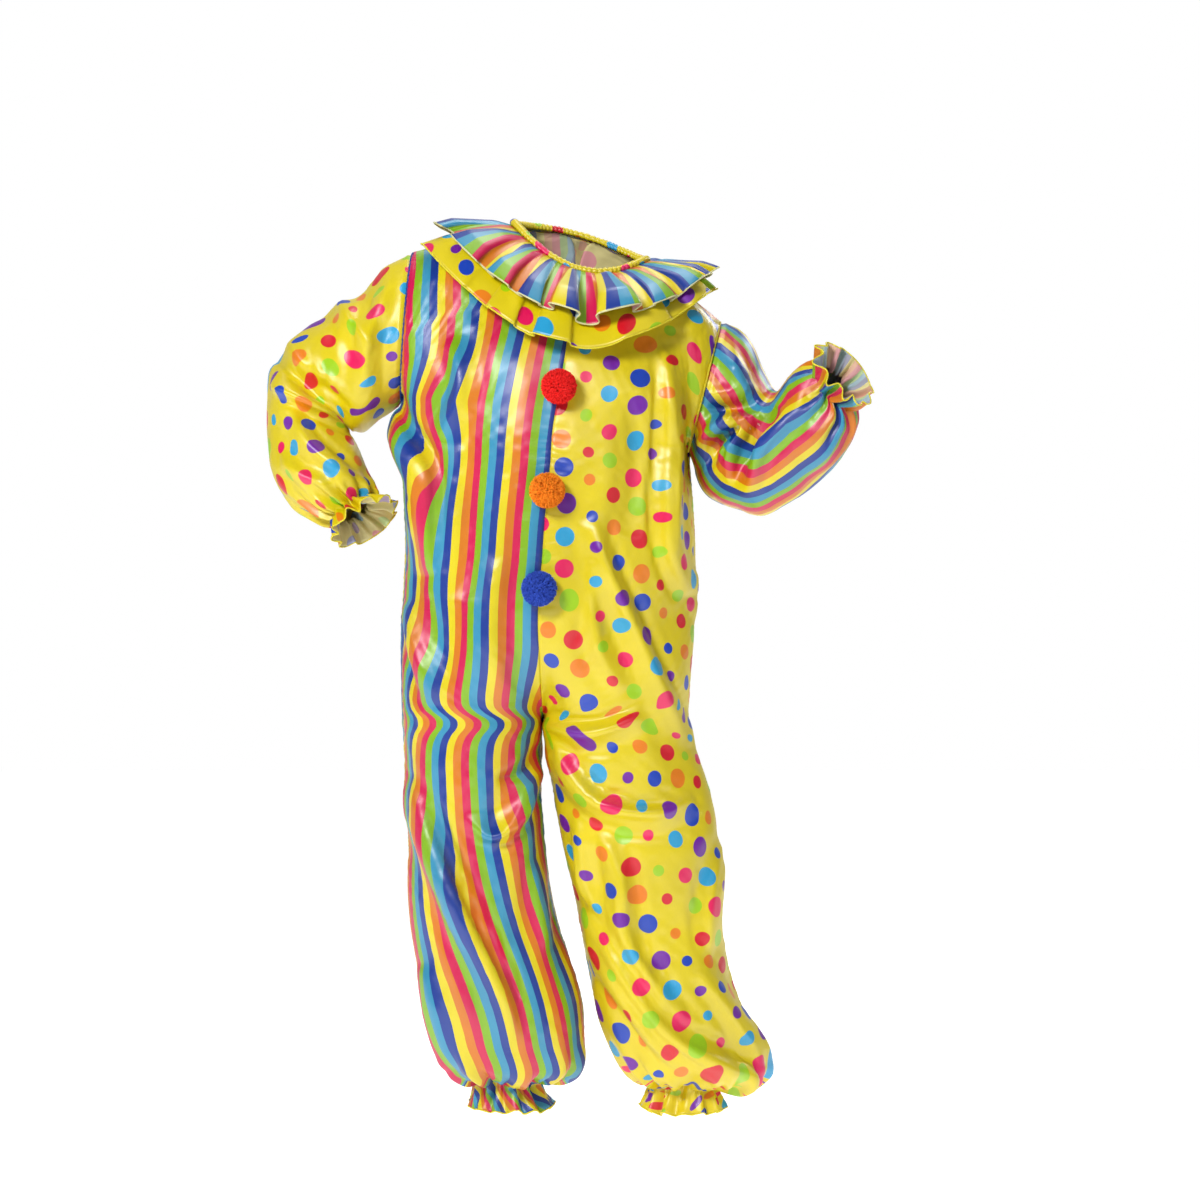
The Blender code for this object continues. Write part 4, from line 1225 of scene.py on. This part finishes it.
LOOP_PITCH = 0.0042
RUFFLE_CORD, FRILL_CORD = 0.0013, 0.0012
THREADS = {ruffle.name: thread(f"thread_{ruffle.name}", ruffle.thread) for ruffle in RUFFLES}
under = [tree_of(*surfaces[name]) for name in surfaces]
for ruffle in RUFFLES:
    grid, angle, reach = ruffle_grid(ruffle, under)
    under = under + [tree_of(grid, True, True)]
    hem = np.linalg.norm(np.roll(grid[-1], -1, axis=0) - grid[-1], axis=1)
    walk = np.concatenate([[0.0], np.cumsum(hem)[:-1]]) / hem.sum()
    share = HEM_SHARE * walk + (1 - HEM_SHARE) * (angle - math.pi) / (2 * math.pi)
    u = share * ruffle.repeats * REPEAT + 0 * reach
    uv = np.stack([u, RUFFLE_WIDTH * reach + 0 * angle], axis=-1)
    name, slot = ruffle.name, f"satin_{ruffle.cloth}"
    piece = cloth_piece(f"{name}_cloth", grid, uv, True, True, *SATIN[ruffle.cloth], name, slot)
    edging = overlocked(f"{name}_edge", grid[-1], RUFFLE_CORD, THREADS[name], LOOP_PITCH)

BINDING_POINTS = 600
BINDING_RADIUS = 0.0054
BINDING_LIFT = 0.0035
BINDING_WRAP = 0.72 * math.pi
BINDING_PUCKERS = 44
BINDING_HALF = 0.13  # about the half width of the neck when the elastic is let out


def binding():
    """The bound neck edge: a strip folded over the seam, drawn up by the elastic in it."""
    angle = 2 * math.pi * np.arange(BINDING_POINTS)[:, None] / BINDING_POINTS
    centre = neck_point(angle[:, 0], 0.0, BINDING_LIFT)
    out = points_at(np.sin(angle[:, 0]), -np.cos(angle[:, 0]), 0.0)
    round_it = np.linspace(-BINDING_WRAP, BINDING_WRAP, 15)[None, :]
    lilt = 1.1 * np.sin(5 * angle) + 0.8 * np.sin(9 * angle + 1)
    puckers = 0.30 * np.abs(np.sin(BINDING_PUCKERS * angle + lilt))
    swell = BINDING_RADIUS * (1 + puckers + 0.05 * np.sin(17 * angle))
    sideways, upwards = swell * np.sin(round_it), swell * np.cos(round_it)
    up = np.array([0, 0, 1.0])
    grid = centre[:, None] + out[:, None] * sideways[..., None] + up * upwards[..., None]
    uv = np.stack(np.broadcast_arrays(angle * BINDING_HALF, round_it * BINDING_RADIUS), axis=-1)
    return grid.swapaxes(0, 1), uv.swapaxes(0, 1)


grid, uv = binding()
dotted = SATIN["dotted"]
piece = cloth_piece("neck_binding_cloth", grid, uv, True, True, *dotted, "neck_binding", "satin_dotted")

# ---------------------------------------------------------------- the overlocked frills
# The foot of each leg and the edge of each cuff is finished with yellow overlock thread.

for side, side_name in SIDE_NAMES.items():
    front, back = (surfaces[f"{face_name}_{side_name}"][0][-1] for face_name in FACE_NAMES.values())
    ankle = np.concatenate([front, back[::-1]])[::2]
    cuff = surfaces[f"sleeve_{side_name}"][0][-1]
    for name, line, cloth in [("ankle_edge", ankle, PRINT[side]), ("cuff_edge", cuff, PRINT[-side])]:
        overlocked(
            f"{name}_{side_name}", line, FRILL_CORD, THREADS["ruffle_dotted"], LOOP_PITCH
        )

# ---------------------------------------------------------------- the armhole seams
# Each sleeve is set in with a row of topstitching through both edges, which puckers them into a narrow
# raised strip all round the armhole.

ARMHOLE_POINTS = 220
STRIP_RADIUS = 0.0019
STRIP_SINK = 0.0030  # how far the strip lies below the shoulder tip, where the cloth has sagged
SINK_REACH = 0.03
STRIP_PITCH = 0.0085
STRIP_COLOURS = {RIGHT: (0.006, 0.040, 0.30), LEFT: (0.80, 0.66, 0.02)}

for side in (RIGHT, LEFT):
    climb = np.linspace(0.0, 1.0, ARMHOLE_POINTS // 2)
    line = np.concatenate([armhole_point(side, FRONT, climb), armhole_point(side, BACK, climb)[-2:0:-1]])
    line[:, 2] -= STRIP_SINK * np.exp((line[:, 2] - line[:, 2].max()) / SINK_REACH)
    name, slot = f"armhole_strip_{SIDE_NAMES[side]}", f"satin_{PRINT[side]}"
    overlocked(name, line, STRIP_RADIUS, thread(name, STRIP_COLOURS[side]), STRIP_PITCH)

# ---------------------------------------------------------------- the pompoms
# Balls of cut yarn, tied in the middle and trimmed round, sewn on the front seam.

POMPOMS = {"red": (0.86, 0.012, 0.010), "orange": (1.0, 0.27, 0.006), "blue": (0.030, 0.085, 0.52)}
POMPOM_STRANDS = 2600
STRAND_RADIUS = 0.00085
SPREAD, TIP_SPREAD = 0.07, 0.09  # how unevenly the strands and their tips stand
TIPS = (0.94, 1.03)  # how evenly the ball is trimmed
FLAT_BACK = 0.0006  # how far short of the CAD ball's back the strands are cut off
YARN_FUZZ = 900.0
YARN_BUMP = Bump(0.5, 0.0006)
# Each ring up a strand: how far out it is, how thick it is and how light it is painted (painted shade at
# the core, painted light at the tip).
RINGS = [(0.62, 1.0, 0.0), (0.84, 1.25, 0.35), (1.0, 0.7, 0.75)]


def yarn(name, colour):
    """Matt cut yarn, with painted light at the frayed tips and painted shade darker down between the
    strands.
    """
    # Painted shade for the depths between the strands, and painted light for the tips.
    painted_deep_shade = tuple(0.92 * part for part in colour)
    light = tuple(min(1.0, 1.12 * part + 0.015) for part in colour)
    sheen = dict(Sheen_Weight=0.25, Sheen_Roughness=0.5, Sheen_Tint=(*light, 1.0))
    material, tree, shader = material_of(name, Roughness=0.95, Specular_IOR_Level=0.2, **sheen)
    depth = add(tree, "UVMap", uv_map="strand").outputs[0]
    place = add(tree, "SeparateXYZ", depth)
    fuzz = add(tree, "TexNoise", None, None, YARN_FUZZ, 3.0)
    tone = maths(tree, "MULTIPLY_ADD", fuzz.outputs[0], 0.4, place.outputs[0])
    share = add(tree, "Clamp", tone).outputs[0]
    tree.links.new(mixed(tree, share, painted_deep_shade, light), shader.inputs["Base Color"])
    bump = add(tree, "Bump", *YARN_BUMP, None, fuzz.outputs[0])
    tree.links.new(bump.outputs[0], shader.inputs["Normal"])
    return material


def pompom(colour_name, colour, seed):
    """Tapered strands that fan out from a core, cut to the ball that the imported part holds."""
    dice = np.random.default_rng(seed)
    node, name = f"pompom_{colour_name}", f"pompom_{colour_name}_yarn"
    low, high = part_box(node)
    centre, radius = np.array((low + high) / 2), (high.x - low.x) / 2
    k = np.arange(POMPOM_STRANDS) + 0.5
    height = 1 - 2 * k / POMPOM_STRANDS
    turn = math.pi * (1 + math.sqrt(5)) * k
    level = np.sqrt(1 - height * height)
    way = np.stack([level * np.cos(turn), level * np.sin(turn), height], -1)
    way = unit(way + dice.normal(0, SPREAD, way.shape))
    tip_way = unit(way + dice.normal(0, TIP_SPREAD, way.shape))
    tip = tip_way * radius * dice.uniform(*TIPS, len(way))[:, None]
    side = unit(np.cross(way, dice.normal(0, 1, way.shape)))
    up = np.cross(way, side)
    points, light = [], []
    for out, girth, glow in RINGS:
        middle = tip if out == 1 else way * radius * out
        for corner in range(3):
            angle = 2 * math.pi * corner / 3
            points.append(middle + (side * math.cos(angle) + up * math.sin(angle)) * STRAND_RADIUS * girth)
            light.append(np.full(len(way), glow))
    points = np.stack(points, axis=1).reshape(-1, 3)
    points[:, 1] = np.minimum(points[:, 1] + centre[1], high.y - FLAT_BACK)
    points[:, 0] += centre[0]
    points[:, 2] += centre[2]
    faces = []
    for ring in range(2):
        for corner in range(3):
            a, b = 3 * ring + corner, 3 * ring + (corner + 1) % 3
            faces.append([a, b, b + 3, a + 3])
    cells = np.array(faces)[None] + 9 * np.arange(len(way))[:, None, None]
    caps = np.array([[6, 7, 8]])[None] + 9 * np.arange(len(way))[:, None, None]
    mesh = bpy.data.meshes.new(name)
    mesh.from_pydata(points.tolist(), [], cells.reshape(-1, 4).tolist() + caps.reshape(-1, 3).tolist())
    # How light each point is painted: painted shade at the core, rising to painted light at the tip.
    glow = np.stack(light, axis=1).reshape(-1)
    layer = mesh.uv_layers.new(name="strand")
    order = np.zeros(len(mesh.loops), np.int32)
    mesh.loops.foreach_get("vertex_index", order)
    layer.data.foreach_set("uv", np.stack([glow[order], (order % 97) / 97], -1).reshape(-1))
    mesh.materials.append(yarn(name, colour))
    obj = linked(name, mesh)
    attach(obj, "root")
    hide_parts(node)


for seed, (colour_name, colour) in enumerate(POMPOMS.items()):
    pompom(colour_name, colour, seed)

# ---------------------------------------------------------------- the studio
# A plain white floor, soft light from the front, and the camera level with the middle of the suit.

FLOOR_Z = cad_low.z - 0.055
FLOOR_HALF = 11.0
PAPER = 0.93
PAPER_GLOW = 0.74
PAPER_FADE = (-2.0, -0.6)  # the paper stops glowing between these, in front of the suit
BEHIND, IN_FRONT = 1.0, 0.16  # how bright the studio is behind the suit and in front of it
WHITE_FROM = (0.45, 0.90)  # between these, as the y of the way looked in, it turns from grey to white


def studio_floor():
    ends = FLOOR_HALF * np.array([[-1, -1], [1, -1], [1, 1], [-1, 1]])
    corners = points_at(ends[:, 0], ends[:, 1], FLOOR_Z)
    mesh = mesh_of("studio_floor", corners, np.array([[0, 1, 2, 3]]))
    material, tree, shader = material_of(
        "studio_paper", Base_Color=(PAPER, PAPER, PAPER, 1.0), Roughness=0.9, Emission_Color=(1.0,) * 4
    )
    place = add(tree, "SeparateXYZ", add(tree, "TexCoord").outputs["Object"])
    glow = add(tree, "MapRange", place.outputs[1], *PAPER_FADE, 0.0, PAPER_GLOW)
    tree.links.new(glow.outputs[0], shader.inputs["Emission Strength"])
    mesh.materials.append(material)
    linked("studio_floor", mesh)


def lamp(name, place, aim, size, power):
    light = bpy.data.lights.new(name, "AREA")
    light.shape, light.size, light.energy = "SQUARE", size, power
    obj = linked(name, light)
    obj.location = place
    obj.rotation_euler = (Vector(aim) - Vector(place)).to_track_quat("-Z", "Y").to_euler()


def studio_light():
    """White behind the suit, fading to grey in front of it, so that the folds keep their shade."""
    world = bpy.data.worlds.new("studio")
    bpy.context.scene.world = world
    world.use_nodes = True
    tree = world.node_tree
    way = add(tree, "SeparateXYZ", add(tree, "TexCoord").outputs["Generated"])
    settings = (*WHITE_FROM, IN_FRONT, BEHIND)
    bright = add(tree, "MapRange", way.outputs["Y"], *settings, interpolation_type="SMOOTHSTEP")
    background = tree.nodes["Background"]
    background.inputs["Color"].default_value = (1.0,) * 4
    tree.links.new(bright.outputs[0], background.inputs["Strength"])


studio_floor()
studio_light()
Lamp = namedtuple("Lamp", "name place aim size power")
for row in [
    Lamp("key", (-1.8, -3.8, 1.4), (0, 0, -0.55), 1.0, 178),
    Lamp("fill", (2.6, -3.4, 0.2), (0, 0, -0.7), 1.2, 12),
    Lamp("top", (0.2, 0.4, 2.1), (0, 0, -0.4), 1.0, 26),
    Lamp("back", (2.8, 3.2, 1.9), (0, 0, -0.5), 1.2, 60),
]:
    lamp(*row)

CAMERA_PLACE = (0.033, -5.0, -0.5775)
VIEW_WIDTH = 1.98  # at the suit
SENSOR = 36.0
camera = linked("camera", bpy.data.cameras.new("camera"))
camera.location = CAMERA_PLACE
camera.rotation_euler = (math.pi / 2, 0.0, 0.0)
camera.data.sensor_width = SENSOR
camera.data.lens = SENSOR * -CAMERA_PLACE[1] / VIEW_WIDTH
bpy.context.scene.camera = camera
bpy.context.scene.view_settings.view_transform = "Standard"
